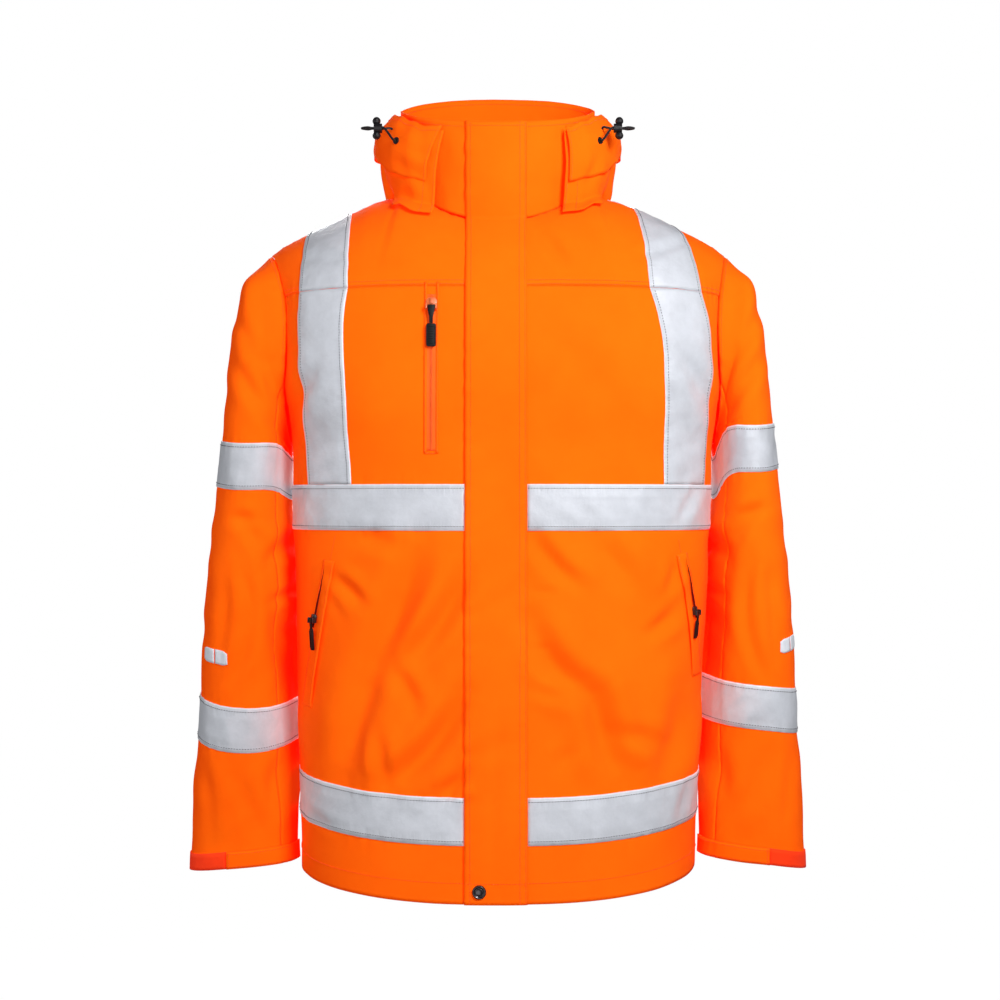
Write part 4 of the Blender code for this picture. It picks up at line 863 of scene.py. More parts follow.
def tape_piece(name, cloth, rows, columns, replaced, closed=False, insets=None):
    """Reflective tape on a block of a panel, crinkled between its two stitch lines."""
    area = cloth.block(rows, columns)
    points = cloth.points[area]
    crinkle = 0.00055 * waves(points, 0.030, len(name)) + 0.0003 * waves(points, 0.013, len(name) + 3)
    upright = abs(rows[1] - rows[0]) > 1
    edges = (np.s_[:, 0], np.s_[:, -1]) if upright else (np.s_[0], np.s_[-1])
    for edge in edges:
        crinkle[edge] = 0.5 * crinkle[edge] - 0.0001
    lifted = cloth.lifted(TAPE_RISE + TAPE_SLACK, rows, columns, crinkle)
    normals = cloth.normals[area]
    if insets:
        lifted = bend_border(lifted, *insets)
    if closed:
        lifted, normals = lifted[:, :-1], normals[:, :-1]
    look = SILVER_UPRIGHT if upright else SILVER
    obj = cloth_piece(name, lifted, cloth.flip, TAPE_CLOTH, look, replaced, closed)
    along, up = arc_lengths(lifted)
    inside = np.minimum(along, along[:, -1:] - along) if upright else np.minimum(up, up[-1:] - up)
    marks = obj.data.attributes.new("inside", "FLOAT", "POINT")
    marks.data.foreach_set("value", inside.reshape(-1).astype(np.float32))
    return lifted, normals


def horizontal_tape(name, cloth, rows, columns, replaced, closed=False, insets=None):
    """A band round the body or a sleeve, stitched along its upper and lower edges."""
    points, normals = tape_piece(name, cloth, rows, columns, replaced, closed, insets)
    stitch(points + normals * TAPE_CLOTH / 2, normals, "grey", ("low", TAPE_STITCH), ("high", TAPE_STITCH))


def upright_tape(name, cloth, rows, columns, replaced, insets=None):
    """A tape over the shoulder, stitched along its two long edges."""
    points, normals = tape_piece(name, cloth, rows, columns, replaced, False, insets)
    stitch(points + normals * TAPE_CLOTH / 2, normals, "grey", ("start", TAPE_STITCH), ("end", TAPE_STITCH))


SEAM_GAP = 0.00015       # half the opening left between two panels at a seam


def make_fronts():
    """The two fronts with their yokes, tapes and topstitching."""
    built = {}
    for side_name, side in SIDES:
        angles = [front_angles(ring, side_name, side) for ring in TORSO]
        points = panel_points(angles, FRONT_PLACES)
        front = Cloth(points, side < 0, ROW_PLACES, FRONT_PLACES)
        front.rise += body_rise(points)
        for row in TAPE_EDGES:
            front.seam(row=row, groove=0.0002, pucker=0.0004, seed=row)
        front.seam(row=YOKE_ROW, groove=0.0003, pucker=0.0003, seed=8)
        front.seam(column=11, seed=9)
        yoke_rows = np.linspace(0, 4, YOKE_DENSE + 1)
        yoke_grid = yoke_points(points[-1], FRONT_PLACES, side_name, side, True)
        yoke = Cloth(yoke_grid, side < 0, yoke_rows, FRONT_PLACES)
        yoke.rise += body_rise(yoke_grid)
        yoke.seam(row=0, groove=0.0003, pucker=0.0003, seed=8)
        yoke.seam(row=4, groove=0.0003, seed=12)
        built[side_name] = (front, yoke)
        shell = bend_border(front.lifted(), high=SEAM_GAP)
        cloth_piece(f"shell_front_{side_name}", shell, front.flip, CLOTH, ORANGE, [f"front_{side_name}"])
        stitch(shell + front.normals * CLOTH / 2, front.normals, "orange", ("low", 0.022))
        shell = bend_border(yoke.lifted(), low=SEAM_GAP)
        cloth_piece(f"shell_yoke_front_{side_name}", shell, yoke.flip, CLOTH, ORANGE,
                    [f"yoke_front_{side_name}"])
        stitch(shell + yoke.normals * CLOTH / 2, yoke.normals, "orange", ("low", 0.0016), ("low", 0.0062))
        for band, rows in (("hem_band", (1, 2)), ("chest_band", (7, 8))):
            horizontal_tape(f"tape_{band}_{side_name}", front, rows, (FLAP_COL, FRONT_EDGE),
                            [f"{band}_{side_name}"], insets=(0, 0, 0.0005, GAP))
        upright_tape(f"tape_brace_{side_name}", front, (8, YOKE_ROW), (BRACE_IN, BRACE_OUT),
                     [f"brace_front_{side_name}"], insets=(0.0001, 0.0001, 0, 0))
        upright_tape(f"tape_brace_yoke_{side_name}", yoke, (0, 4), (BRACE_IN, BRACE_OUT),
                     [f"brace_yoke_{side_name}"], insets=(0.0001, 0.0004, 0, 0))
    return built


def make_back():
    """The back, its yoke, and the tapes on them."""
    halves = []
    for side in (-1.0, 1.0):
        angles = [back_angles(ring, side) for ring in TORSO]
        points = panel_points(angles, BACK_PLACES)
        halves.append((points, yoke_points(points[-1], BACK_PLACES, None, side, False)))
    columns = np.concatenate((-BACK_PLACES[::-1], BACK_PLACES[1:])) + BACK_EDGE
    join = lambda k: np.concatenate((halves[0][k][:, ::-1], halves[1][k][:, 1:]), axis=1)
    back = Cloth(join(0), True, ROW_PLACES, columns)
    back.rise += body_rise(back.points)
    for row in TAPE_EDGES:
        back.seam(row=row, groove=0.0002, pucker=0.0004, seed=row + 20)
    back.seam(row=YOKE_ROW, groove=0.0003, pucker=0.0003, seed=28)
    back.seam(column=0, seed=29)
    back.seam(column=2 * BACK_EDGE, seed=30)
    yoke = Cloth(join(1), True, np.linspace(0, 4, YOKE_DENSE + 1), columns)
    yoke.rise += body_rise(yoke.points)
    yoke.seam(row=0, groove=0.0003, pucker=0.0003, seed=28)
    yoke.seam(row=4, groove=0.0003, seed=12)
    shell = bend_border(back.lifted(), high=SEAM_GAP)
    cloth_piece("shell_back", shell, True, CLOTH, ORANGE, ["back"])
    stitch(shell + back.normals * CLOTH / 2, back.normals, "orange", ("low", 0.022))
    shell = bend_border(yoke.lifted(), low=SEAM_GAP)
    cloth_piece("shell_yoke_back", shell, True, CLOTH, ORANGE, ["yoke_back"])
    stitch(shell + yoke.normals * CLOTH / 2, yoke.normals, "orange", ("low", 0.0016), ("low", 0.0062),
           ("high", 0.0016), ("high", 0.0062))
    for band, rows in (("hem_band", (1, 2)), ("chest_band", (7, 8))):
        horizontal_tape(f"tape_{band}_back", back, rows, (0, 2 * BACK_EDGE), [f"{band}_back"],
                        insets=(0, 0, GAP, GAP))
    for side_name, span in (("right", (BACK_EDGE - BACK_OUT, BACK_EDGE - BACK_IN)),
                            ("left", (BACK_EDGE + BACK_IN, BACK_EDGE + BACK_OUT))):
        upright_tape(f"tape_brace_back_{side_name}", back, (8, YOKE_ROW), span, [f"brace_back_{side_name}"],
                     insets=(0.0001, 0.0001, 0, 0))
        upright_tape(f"tape_brace_back_yoke_{side_name}", yoke, (0, 4), span,
                     [f"brace_back_yoke_{side_name}"], insets=(0.0001, 0.0004, 0, 0))
    return back, yoke


# ---------------------------------------------------------------- flap, zip and collar
COLLAR_DENSE = 26


def collar_fields(part):
    """The numbers of a ring of the collar: 0 at the neck seam and 1 at the top."""
    mixed = fields_of(NECK) + (fields_of(COLLAR_TOP) - fields_of(NECK)) * part
    swell = 0.003 * math.sin(math.pi * part)
    return mixed + swell * np.array((0, 1, 0, -1, 0, 1, 0, 0))


def across_points(fields, xs, crown=2.0):
    """The points of a ring's front at these places across."""
    rel = (xs - fields[0]) / fields[1]
    angles = np.arcsin(np.clip(signed_power(rel, fields[7] / 2.0), -1, 1))
    return ring_points(fields, angles, crown)


def centre_grid(xs, top):
    """Rows of points up the middle of the front, from the hem to a part of the collar."""
    fields = cubic([fields_of(ring) for ring in TORSO], ROW_PLACES)
    rows = [across_points(row, xs) for row in fields]
    low, high = rows[-1], across_points(fields_of(NECK), xs)
    middle = low + (high - low) * np.array((0.5, 0.40, 0.60))
    for r in np.linspace(0, 1, YOKE_DENSE // 2 + 1)[1:]:
        rows.append((1 - r) ** 2 * low + 2 * r * (1 - r) * middle + r * r * high)
    rows += [across_points(collar_fields(part), xs, 2.0 - part)
             for part in np.linspace(0, top, COLLAR_DENSE)[1:]]
    return np.array(rows)


FLAP_FOLDS = [Fold(*row) for row in (
    ("front", -0.030, -0.480, 0.026, -0.445, 0.002, 0.010, 0.0012, 0.2),
    ("front", -0.030, -0.330, 0.020, -0.300, 0.002, 0.010, 0.0010, 0.3),
    ("front", -0.028, -0.620, 0.026, -0.600, -0.002, 0.011, 0.0013, -0.2),
    ("front", -0.004, -0.760, 0.004, -0.560, 0.003, 0.007, 0.0009, 0.2),
)]


def make_centre():
    """The zip strip, and the storm flap over it: free on one side and sewn on the other."""
    xs = np.linspace(-ZIP_HALF + GAP, ZIP_HALF - GAP, 7)
    strip = centre_grid(xs, 0.0)
    cloth_piece("zip_strip", strip, False, CLOTH, ZIP_TAPE, ["front_zip"])
    xs = np.linspace(FLAP_RIGHT, FLAP_LEFT, 21)
    points = centre_grid(xs, 1.0)
    flap = Cloth(points, False, np.arange(len(points)), np.arange(len(xs)))
    flap.rise += body_rise(points) + fold_field(points, FLAP_FOLDS)
    flap.seam(column=20, groove=0.0012, pucker=0.0004, seed=41)
    flap.seam(column=0, groove=0.0006, pucker=0.0006, pitch=0.016, seed=42)
    shell = flap.lifted(FLAP_STAND)
    cloth_piece("shell_storm_flap", shell, False, 0.0018, ORANGE, ["storm_flap"])
    stitch(shell + flap.normals * 0.0009, flap.normals, "orange", ("start", 0.0060), ("end", 0.0020),
           ("end", 0.0080), ("low", 0.022), ("high", 0.0050))
    return flap, shell


def make_collar():
    """The stand collar, with a rolled upper edge."""
    rows = []
    for part in np.linspace(0, 1, COLLAR_DENSE + 1):
        fields = collar_fields(part)
        edge = math.asin((ZIP_HALF / fields[1]) ** (fields[7] / 2))
        rows.append(ring_points(fields, np.linspace(edge, 2 * math.pi - edge, 150), 2.0 - part))
    points = np.array(rows)
    collar = Cloth(points, False, np.linspace(0, 4, COLLAR_DENSE + 1), np.linspace(0, 28, 150))
    collar.rise += 0.0012 * waves(points, 0.08, 51) + 0.0005 * waves(points, 0.03, 52)
    top = collar.up[-1] - collar.up
    collar.rise += 0.0010 * np.exp(-(top / 0.006) ** 2)
    shell = bend_border(collar.lifted(), low=0.0008)
    cloth_piece("shell_collar", shell, False, 0.0022, ORANGE, ["collar"])
    for face in (1, -1):
        stitch(shell + collar.normals * 0.0011 * face, collar.normals * face, "orange", ("high", 0.0060))


# ---------------------------------------------------------------- sleeves
SLEEVE_FOLDS = {
    "right": [Fold(*row) for row in (
        ("front", -0.296, -0.198, -0.240, -0.284, 0.003, 0.0085, 0.0044, 0.3),
        ("front", -0.268, -0.194, -0.228, -0.198, 0.002, 0.0060, 0.0030, 0.4),
        ("front", -0.256, -0.206, -0.230, -0.282, 0.002, 0.0110, 0.0062, 0.2),
        ("front", -0.272, -0.100, -0.262, -0.170, 0.004, 0.0080, 0.0026, 0.2),
        ("front", -0.300, -0.140, -0.276, -0.186, 0.004, 0.0080, 0.0022, 0.2),
        ("front", -0.290, -0.366, -0.250, -0.424, 0.003, 0.0085, 0.0034, 0.2),
        ("front", -0.232, -0.382, -0.256, -0.424, 0.000, 0.0080, 0.0046, 0.2),
        ("front", -0.300, -0.372, -0.262, -0.372, 0.002, 0.0065, 0.0024, 0.2),
        ("front", -0.282, -0.432, -0.276, -0.490, 0.004, 0.0075, 0.0036, 0.3),
        ("front", -0.274, -0.486, -0.294, -0.548, 0.003, 0.0070, 0.0030, 0.3),
        ("front", -0.304, -0.430, -0.312, -0.530, 0.003, 0.0080, 0.0030, 0.3),
        ("front", -0.228, -0.448, -0.252, -0.464, 0.000, 0.0060, 0.0034, 0.2),
        ("front", -0.250, -0.470, -0.236, -0.566, 0.002, 0.0120, 0.0066, 0.2),
        ("front", -0.246, -0.640, -0.256, -0.700, 0.000, 0.0100, 0.0044, 0.2),
        ("front", -0.300, -0.650, -0.262, -0.735, 0.004, 0.0110, 0.0026, 0.2),
        ("front", -0.330, -0.640, -0.322, -0.735, 0.002, 0.0070, 0.0016, 0.2),
        ("back", -0.290, -0.190, -0.240, -0.280, -0.004, 0.0110, 0.0046, 0.2),
        ("back", -0.256, -0.200, -0.232, -0.280, 0.002, 0.0110, 0.0052, 0.2),
        ("back", -0.300, -0.400, -0.245, -0.440, -0.005, 0.0110, 0.0044, 0.2),
        ("back", -0.315, -0.470, -0.250, -0.500, 0.005, 0.0110, 0.0048, -0.2),
        ("back", -0.310, -0.540, -0.250, -0.530, 0.004, 0.0100, 0.0040, 0.0),
        ("back", -0.250, -0.650, -0.320, -0.700, 0.005, 0.0120, 0.0030, 0.0),
        ("outer_right", -0.050, -0.400, 0.050, -0.420, 0.005, 0.0120, 0.0020, 0.2),
        ("outer_right", -0.040, -0.500, 0.050, -0.480, -0.005, 0.0120, 0.0024, 0.2),
    )],
}
SLEEVE_FOLDS["left"] = [f._replace(
    view=f.view.replace("right", "left"),
    across_a=f.across_a if "outer" in f.view else -f.across_a,
    across_b=f.across_b if "outer" in f.view else -f.across_b,
    z_a=f.z_a + 0.012, z_b=f.z_b + 0.004, bow=-f.bow * 0.8, lean=-f.lean) for f in SLEEVE_FOLDS["right"]]


def sleeve_rings(side):
    """The rings of a sleeve at its marks, from the armhole to the cuff."""
    bend = 2.0 / SLEEVE_SQUARE
    rings = []
    angles = 2 * math.pi * np.arange(SLEEVE_COLUMNS) / SLEEVE_COLUMNS
    for cuff in SLEEVE:
        outer_z, inner_z, sag = cuff[4:7] if side > 0 else cuff[1:4]
        outer = side * outline_x(outer_z)
        inner = side * inner_x(inner_z) + centre_shift(inner_z)
        drop = ((1 - np.cos(angles)) / 2) ** cuff.drop
        tuck = cuff.tuck * np.maximum(0, np.cos(angles - TUCK_AT)) ** TUCK_POWER
        rings.append(np.stack((
            (outer + inner) / 2 + (outer - inner) / 2 * signed_power(np.cos(angles), bend) - side * tuck,
            cuff.centre_y - cuff.half_depth * signed_power(np.sin(angles), bend),
            outer_z + (inner_z - outer_z) * drop + sag * np.sin(angles) ** 2), axis=1))
    return rings


def sleeve_marks(side, front, yoke, back, back_yoke):
    """The rings with the fan under the arm, and the armhole's own ring before them."""
    armpit = row_index("armpit")
    edge = lambda cloth, column: [cloth.points[int(np.argmin(np.abs(cloth.rows - row))), column]
                                  for row in range(int(cloth.rows[-1]) + 1)]
    back_column = 0 if side < 0 else -1
    front_edge, back_edge = edge(front, -1), edge(back, back_column)
    r = np.linspace(0, 1, 5)
    yoke_edge = [yoke.points[int(round(k * YOKE_DENSE)), -1] for k in r]
    back_yoke_edge = [back_yoke.points[int(round(k * YOKE_DENSE)), back_column] for k in r]
    loop = yoke_edge[::-1] + front_edge[armpit:-1][::-1] + back_edge[armpit + 1:] + back_yoke_edge[1:-1]
    rings = sleeve_rings(side)
    fan = next(k for k, cuff in enumerate(SLEEVE) if cuff.name == "upper_top")
    first = []
    for k, seam in enumerate(loop):
        under = ((1 - math.cos(2 * math.pi * k / len(loop))) / 2) ** 2
        for step, ring in enumerate(rings[:fan]):
            part = (step + 1) / (fan + 1)
            even = seam + (rings[fan][k] - seam) * part
            ring[k, 1] += (even[1] - ring[k, 1]) * (1 - part)
            ring[k, 2] += (even[2] - ring[k, 2]) * under
        away = rings[0][k] - seam
        away = away / np.linalg.norm(away) * ARMHOLE_GAP * 0.3
        first.append(seam + away * (1 - under) + np.array((side * UNDERARM_GAP * under, 0.0, 0.0)))
    return [np.array(first)] + rings


SLEEVE_SPANS = [0.03] + [abs(a.outer_z - b.outer_z) for a, b in zip(SLEEVE, SLEEVE[1:])]
SLEEVE_PLACES = steps(SLEEVE_SPANS, MESH_STEP)
AROUND_PLACES = steps([0.025] * SLEEVE_COLUMNS, MESH_STEP)[:-1]


def sleeve_row(name):
    """The number of a sleeve's mark, counting the armhole as 0."""
    return 1 + next(k for k, cuff in enumerate(SLEEVE) if cuff.name == name)


def make_sleeves(fronts, back, back_yoke):
    """Both sleeves, each an upper and an under piece, with tapes and the cuff's fastening."""
    built = {}
    for side_name, side in SIDES:
        marks = np.array(sleeve_marks(side, *fronts[side_name], back, back_yoke))
        rows = cubic(marks, SLEEVE_PLACES)
        ring = np.concatenate((rows[:, -8:], rows, rows[:, :8]), axis=1).transpose(1, 0, 2)
        points = cubic(ring, AROUND_PLACES + 1).transpose(1, 0, 2)
        whole = Cloth(points, side < 0, SLEEVE_PLACES, AROUND_PLACES - 7, closed=True)
        for name in ("points", "normals", "rise", "along", "up"):
            value = getattr(whole, name)
            setattr(whole, name, np.concatenate((value, value[:, :1]), axis=1))
        whole.columns = np.append(whole.columns, SLEEVE_COLUMNS - 7)
        rise = fold_field(whole.points, SLEEVE_FOLDS[side_name])
        rise += 0.0009 * waves(whole.points, 0.10, 61) + 0.0006 * waves(whole.points, 0.045, 62) - 0.0008
        fade = np.clip(whole.up / 0.05, 0, 1) * np.clip((whole.up.max() - whole.up) / 0.05, 0.3, 1)
        whole.rise += rise * fade
        for mark in ("upper_top", "upper_low", "lower_top", "lower_low"):
            whole.seam(row=sleeve_row(mark), groove=0.0002, pucker=0.0004, seed=sleeve_row(mark))
        whole.seam(row=0, groove=0.0012, pucker=0.0008, pitch=0.018, seed=71)
        whole.seam(column=7, seed=72)
        for piece, span in (("upper", (-7, 7)), ("under", (7, 11))):
            shell = bend_border(whole.lifted(columns=span), start=GAP / 2, end=GAP / 2)
            cloth_piece(f"shell_sleeve_{piece}_{side_name}", shell, whole.flip, CLOTH, ORANGE,
                        [f"sleeve_{piece}_{side_name}"])
            normals = whole.normals[whole.block(columns=span)]
            stitch(shell + normals * CLOTH / 2, normals, "orange", ("low", 0.004), ("high", 0.004))
        for band in ("upper", "lower"):
            rows = (sleeve_row(f"{band}_top"), sleeve_row(f"{band}_low"))
            horizontal_tape(f"tape_sleeve_{band}_{side_name}", whole, rows, None,
                            [f"sleeve_{band}_band_{side_name}"], closed=True)
        low = sleeve_row("cuff_seam")
        strap = whole.lifted(CLOTH / 2 + 0.0008, (low + 0.22, low + 0.97), (0, 4))
        cloth_piece(f"strap_hooks_{side_name}", bend_border(strap, end=GAP), whole.flip, 0.0014, HOOKS,
                    [f"cuff_strip_{side_name}"])
        strap = whole.lifted(0.0026, (low + 0.22, low + 0.97), (4, 9))
        cloth_piece(f"strap_tab_{side_name}", bend_border(strap, start=GAP), whole.flip, 0.0020, ORANGE,
                    [f"cuff_tab_{side_name}"])
        area = whole.block((low + 0.22, low + 0.97), (4, 9))
        normals = whole.normals[area]
        stitch(strap + normals * 0.001, normals, "orange",
               ("low", 0.0025), ("high", 0.0025), ("start", 0.0030))
        built[side_name] = whole
    return built


# ---------------------------------------------------------------- hood
HOOD_CLEAR = 0.0064      # height of the hood's cloth above the cloth that it lies on
HOOD_SPLIT = 128.0       # angle of the seams between the hood's sides and its centre panel
HOOD_FRONT = {"right": (38.5, 27.5), "left": (37.5, 35.0)}      # front edge, at its foot and its top
HOOD_FOLDS = [Fold(*row) for row in (
    ("front", -0.085, 0.010, -0.125, 0.040, 0.003, 0.007, 0.0016, 0.3),
    ("front", -0.070, 0.028, -0.110, 0.046, 0.002, 0.006, 0.0012, 0.2),
    ("front", -0.082, -0.026, -0.112, -0.004, -0.003, 0.006, 0.0016, 0.2),
    ("front", 0.094, -0.005, 0.116, 0.042, -0.002, 0.006, 0.0018, 0.2),
    ("front", 0.086, -0.030, 0.112, -0.012, 0.003, 0.006, 0.0014, -0.2),
    ("back", -0.060, -0.055, -0.020, 0.040, 0.006, 0.010, 0.0024, 0.2),
    ("back", 0.070, -0.060, 0.035, 0.035, -0.006, 0.010, 0.0024, -0.2),
    ("back", -0.120, -0.040, -0.080, 0.030, 0.004, 0.009, 0.0020, 0.2),
)]


def tree_of(*grids):
    """A search tree over grids of points, each given with whether its normals need turning."""
    points, faces, base = [], [], 0
    for grid, flip in grids:
        rows, columns = grid.shape[:2]
        i, j = np.meshgrid(np.arange(rows - 1), np.arange(columns - 1), indexing="ij")
        a = base + i * columns + j
        quads = np.stack((a, a + 1, a + columns + 1, a + columns), axis=-1).reshape(-1, 4)
        faces += (quads[:, ::-1] if flip else quads).tolist()
        points += grid.reshape(-1, 3).tolist()
        base += rows * columns
    return BVHTree.FromPolygons(points, faces)


def lifted_clear(point, tree, clear):
    """The point, moved out where it is nearer than clear to a surface or behind it."""
    place, normal, _, distance = tree.find_nearest(Vector(point))
    if place is None or distance > 0.05:
        return point
    short = clear - (Vector(point) - place).dot(normal)
    return np.array(Vector(point) + normal * short) if short > 0 else point


def beside_collar(angle, out, z):
    """A point at this height and this far out from the collar."""
    low_z = ring_point(NECK, angle)[2]
    high_z = ring_point(COLLAR_TOP, angle)[2]
    fields = collar_fields(max(0.0, min(1.0, (z - low_z) / (high_z - low_z))))
    place = ring_points(fields, np.array(angle))
    depth = abs(fields[3] if math.cos(angle) > 0 else fields[5])
    normal = np.array((math.sin(angle) / fields[1], -math.cos(angle) / depth, 0.0))
    place = place + normal / np.linalg.norm(normal) * out
    place[2] = z
    return place


def profile_at(table, angle):
    """A profile table read at an angle, without the angle."""
    angle = min(max(angle, table[0].angle), table[-1].angle)
    for low, high in zip(table, table[1:]):
        if angle <= high.angle:
            part = (angle - low.angle) / (high.angle - low.angle)
            part = part * part * (3 - 2 * part)
            return np.array(low[1:]) + (np.array(high[1:]) - np.array(low[1:])) * part


def profile_grid(table, starts, end, columns, rows, side, tree):
    """A grid over a table of profiles; its first border may lean from foot to top."""
    grid = np.empty((rows, columns, 3))
    for i, t in enumerate(np.linspace(0, 1, rows)):
        start = starts[0] + (starts[1] - starts[0]) * t
        for j, angle in enumerate(np.linspace(start, end, columns)):
            profile = profile_at(table, angle)
            count = len(profile) // 2
            out, z = cubic(profile.reshape(count, 2), [t * (count - 1)])[0]
            point = beside_collar(side * math.radians(angle), out, z)
            grid[i, j] = lifted_clear(point, tree, HOOD_CLEAR) if tree else point
    return grid


def make_hood(tree):
    """The folded-down hood: two sides, a centre panel behind, and the brim folded over them."""
    behind, brims = [], {}
    for side_name, side in SIDES:
        starts = HOOD_FRONT[side_name]
        grid = profile_grid(HOOD, starts, HOOD_SPLIT, 56, 36, side, tree)
        cloth = Cloth(grid, side < 0, np.arange(36), np.arange(56))
        cloth.rise += fold_field(grid, HOOD_FOLDS) + 0.0012 * waves(grid, 0.05, 81)
        cloth.seam(column=55, groove=0.0010, seed=82)
        shell = bend_border(cloth.lifted(), end=0.0012)
        cloth_piece(f"shell_hood_side_{side_name}", shell, side < 0, CLOTH, ORANGE,
                    [f"hood_side_{side_name}"])
        stitch(shell + cloth.normals * CLOTH / 2, cloth.normals, "orange", ("start", 0.0022),
               ("start", 0.0150), ("end", 0.0030))
        behind.append(profile_grid(HOOD, (HOOD_SPLIT, HOOD_SPLIT), 180.0, 30, 36, side, tree))
        grid = profile_grid(BRIM, (starts[0], starts[1]), 180.0, 80, 22, side, None)
        cloth = Cloth(grid, side < 0, np.arange(22), np.arange(80))
        cloth.rise += fold_field(grid, HOOD_FOLDS) + 0.0010 * waves(grid, 0.045, 83)
        cloth.seam(column=79, groove=0.0008, seed=84)
        low = cloth.up / 0.010
        cloth.rise -= 0.0016 * np.exp(-low ** 2)
        shell = bend_border(cloth.lifted(), end=GAP)
        cloth_piece(f"shell_hood_brim_{side_name}", shell, side < 0, CLOTH, ORANGE,
                    [f"hood_brim_{side_name}"])
        stitch(shell + cloth.normals * CLOTH / 2, cloth.normals, "orange", ("start", 0.0022),
               ("high", 0.0060), ("end", 0.0020))
        brims[side_name] = shell
    grid = np.concatenate((behind[0], behind[1][:, ::-1][:, 1:]), axis=1)
    cloth = Cloth(grid, True, np.arange(36), np.arange(59))
    cloth.rise += fold_field(grid, HOOD_FOLDS) + 0.0016 * waves(grid, 0.07, 85)
    for column in (0, 58):
        cloth.seam(column=column, groove=0.0010, seed=86 + column)
    shell = bend_border(cloth.lifted(), start=0.0012, end=0.0012)
    cloth_piece("shell_hood_back", shell, True, CLOTH, ORANGE, ["hood_back"])
    stitch(shell + cloth.normals * CLOTH / 2, cloth.normals, "orange", ("start", 0.0030), ("end", 0.0030))
    return brims


# ---------------------------------------------------------------- trim on the fronts
CHEST_ZIP = ((-0.0715, -0.128), (-0.0715, -0.297))
CHEST_LIPS = ((-0.0715, -0.1145), (-0.0715, -0.3000))
POCKETS = {
    "right": ((-0.1835, -0.416), (-0.1930, -0.470), (-0.2030, -0.530), (-0.2115, -0.578)),
    "left": ((0.2010, -0.409), (0.2090, -0.448), (0.2150, -0.490), (0.2210, -0.545)),
}


MOUTHS = {
    "right": ((-0.1868, -0.4210), (-0.1905, -0.4440), (-0.1955, -0.4670), (-0.2000, -0.4900)),
    "left": ((0.2035, -0.4130), (0.2080, -0.4360), (0.2125, -0.4600), (0.2160, -0.4800)),
}
MOUTH_TOPS = {
    "right": ((-0.1765, -0.3880), (-0.1795, -0.4020), (-0.1822, -0.4160)),
    "left": ((0.1975, -0.3930), (0.1990, -0.4010), (0.2008, -0.4090)),
}


def front_place(tree, x, z):
    """A place on the front's cloth and the direction out of it."""
    place, normal, _, _ = tree.ray_cast(Vector((x, -1.0, z)), Vector((0.0, 1.0, 0.0)))
    return np.array(place), np.array(normal)


def path_place(path, t):
    """A place on a path of x and z, and the direction across it towards its left."""
    t = t * (len(path) - 1)
    i = min(int(t), len(path) - 2)
    (x0, z0), (x1, z1) = path[i], path[i + 1]
    length = math.hypot(x1 - x0, z1 - z0)
    return x0 + (x1 - x0) * (t - i), z0 + (z1 - z0) * (t - i), -(z1 - z0) / length, (x1 - x0) / length


def front_grid(tree, path, shifts, rises, rows=60):
    """A grid along a path on the front, with a column for each sideways shift and its rise."""
    grid, normals = np.empty((rows, len(shifts), 3)), np.empty((rows, len(shifts), 3))
    for i in range(rows):
        x, z, side_x, side_z = path_place(path, i / (rows - 1))
        for j, (shift, rise) in enumerate(zip(shifts, rises)):
            place, normal = front_place(tree, x + side_x * shift, z + side_z * shift)
            grid[i, j], normals[i, j] = place + normal * rise, normal
    return grid, normals


LIP_RISES = (0.0013, 0.0018, 0.0019, 0.0018, 0.0012)
COIL_TEETH = 150


def make_chest_zip(tree):
    """The zip's tape with its coil, under two narrow lips of cloth, and its box of stitches."""
    shifts = np.linspace(-0.0062, 0.0062, 9)
    grid, normals = front_grid(tree, CHEST_ZIP, shifts, [0.0011] * 9)
    cloth_piece("chest_tape", grid, False, 0.0006, ZIP_TAPE, ["chest_zip_tape"])
    for name, low, high in (("right", -0.0078, -0.0050), ("left", 0.0050, 0.0078)):
        lip, _ = front_grid(tree, CHEST_LIPS, np.linspace(low, high, 5), LIP_RISES)
        cloth_piece(f"chest_lip_{name}", lip, False, 0.0005, ORANGE, [])
    vertices, faces = [], []
    for k in range(COIL_TEETH):
        t = (k + 0.5) / COIL_TEETH
        x, z, _, _ = path_place(CHEST_ZIP, t)
        side = 1 if k % 2 else -1
        place, normal = front_place(tree, x, z)
        base = len(vertices)
        across, up = np.array((1.0, 0.0, 0.0)), np.array((0.0, 0.0, 1.0))
        for dx, dz, out in ((-0.0008, -0.00045, 0.0013), (0.0022, -0.00035, 0.0013),
                            (0.0022, 0.00035, 0.0013), (-0.0008, 0.00045, 0.0013),
                            (-0.0004, -0.0003, 0.0022), (0.0018, -0.0002, 0.0020),
                            (0.0018, 0.0002, 0.0020), (-0.0004, 0.0003, 0.0022)):
            vertices.append(tuple(place + across * dx * side + up * dz + normal * out))
        turn = 1 if side > 0 else -1
        for face in ((0, 1, 5, 4), (1, 2, 6, 5), (2, 3, 7, 6), (3, 0, 4, 7), (4, 5, 6, 7), (3, 2, 1, 0)):
            faces.append(tuple(base + v for v in face[::turn]))
    mesh_piece("chest_coil", vertices, faces, ZIP_COIL)
    grid, normals = front_grid(tree, CHEST_LIPS, (-0.0066, -0.0030, 0.0030, 0.0066), [0.0022] * 4, 90)
    stitch(grid, normals, "orange", ("start", 0.0), ("end", 0.0), ("high", 0.0))


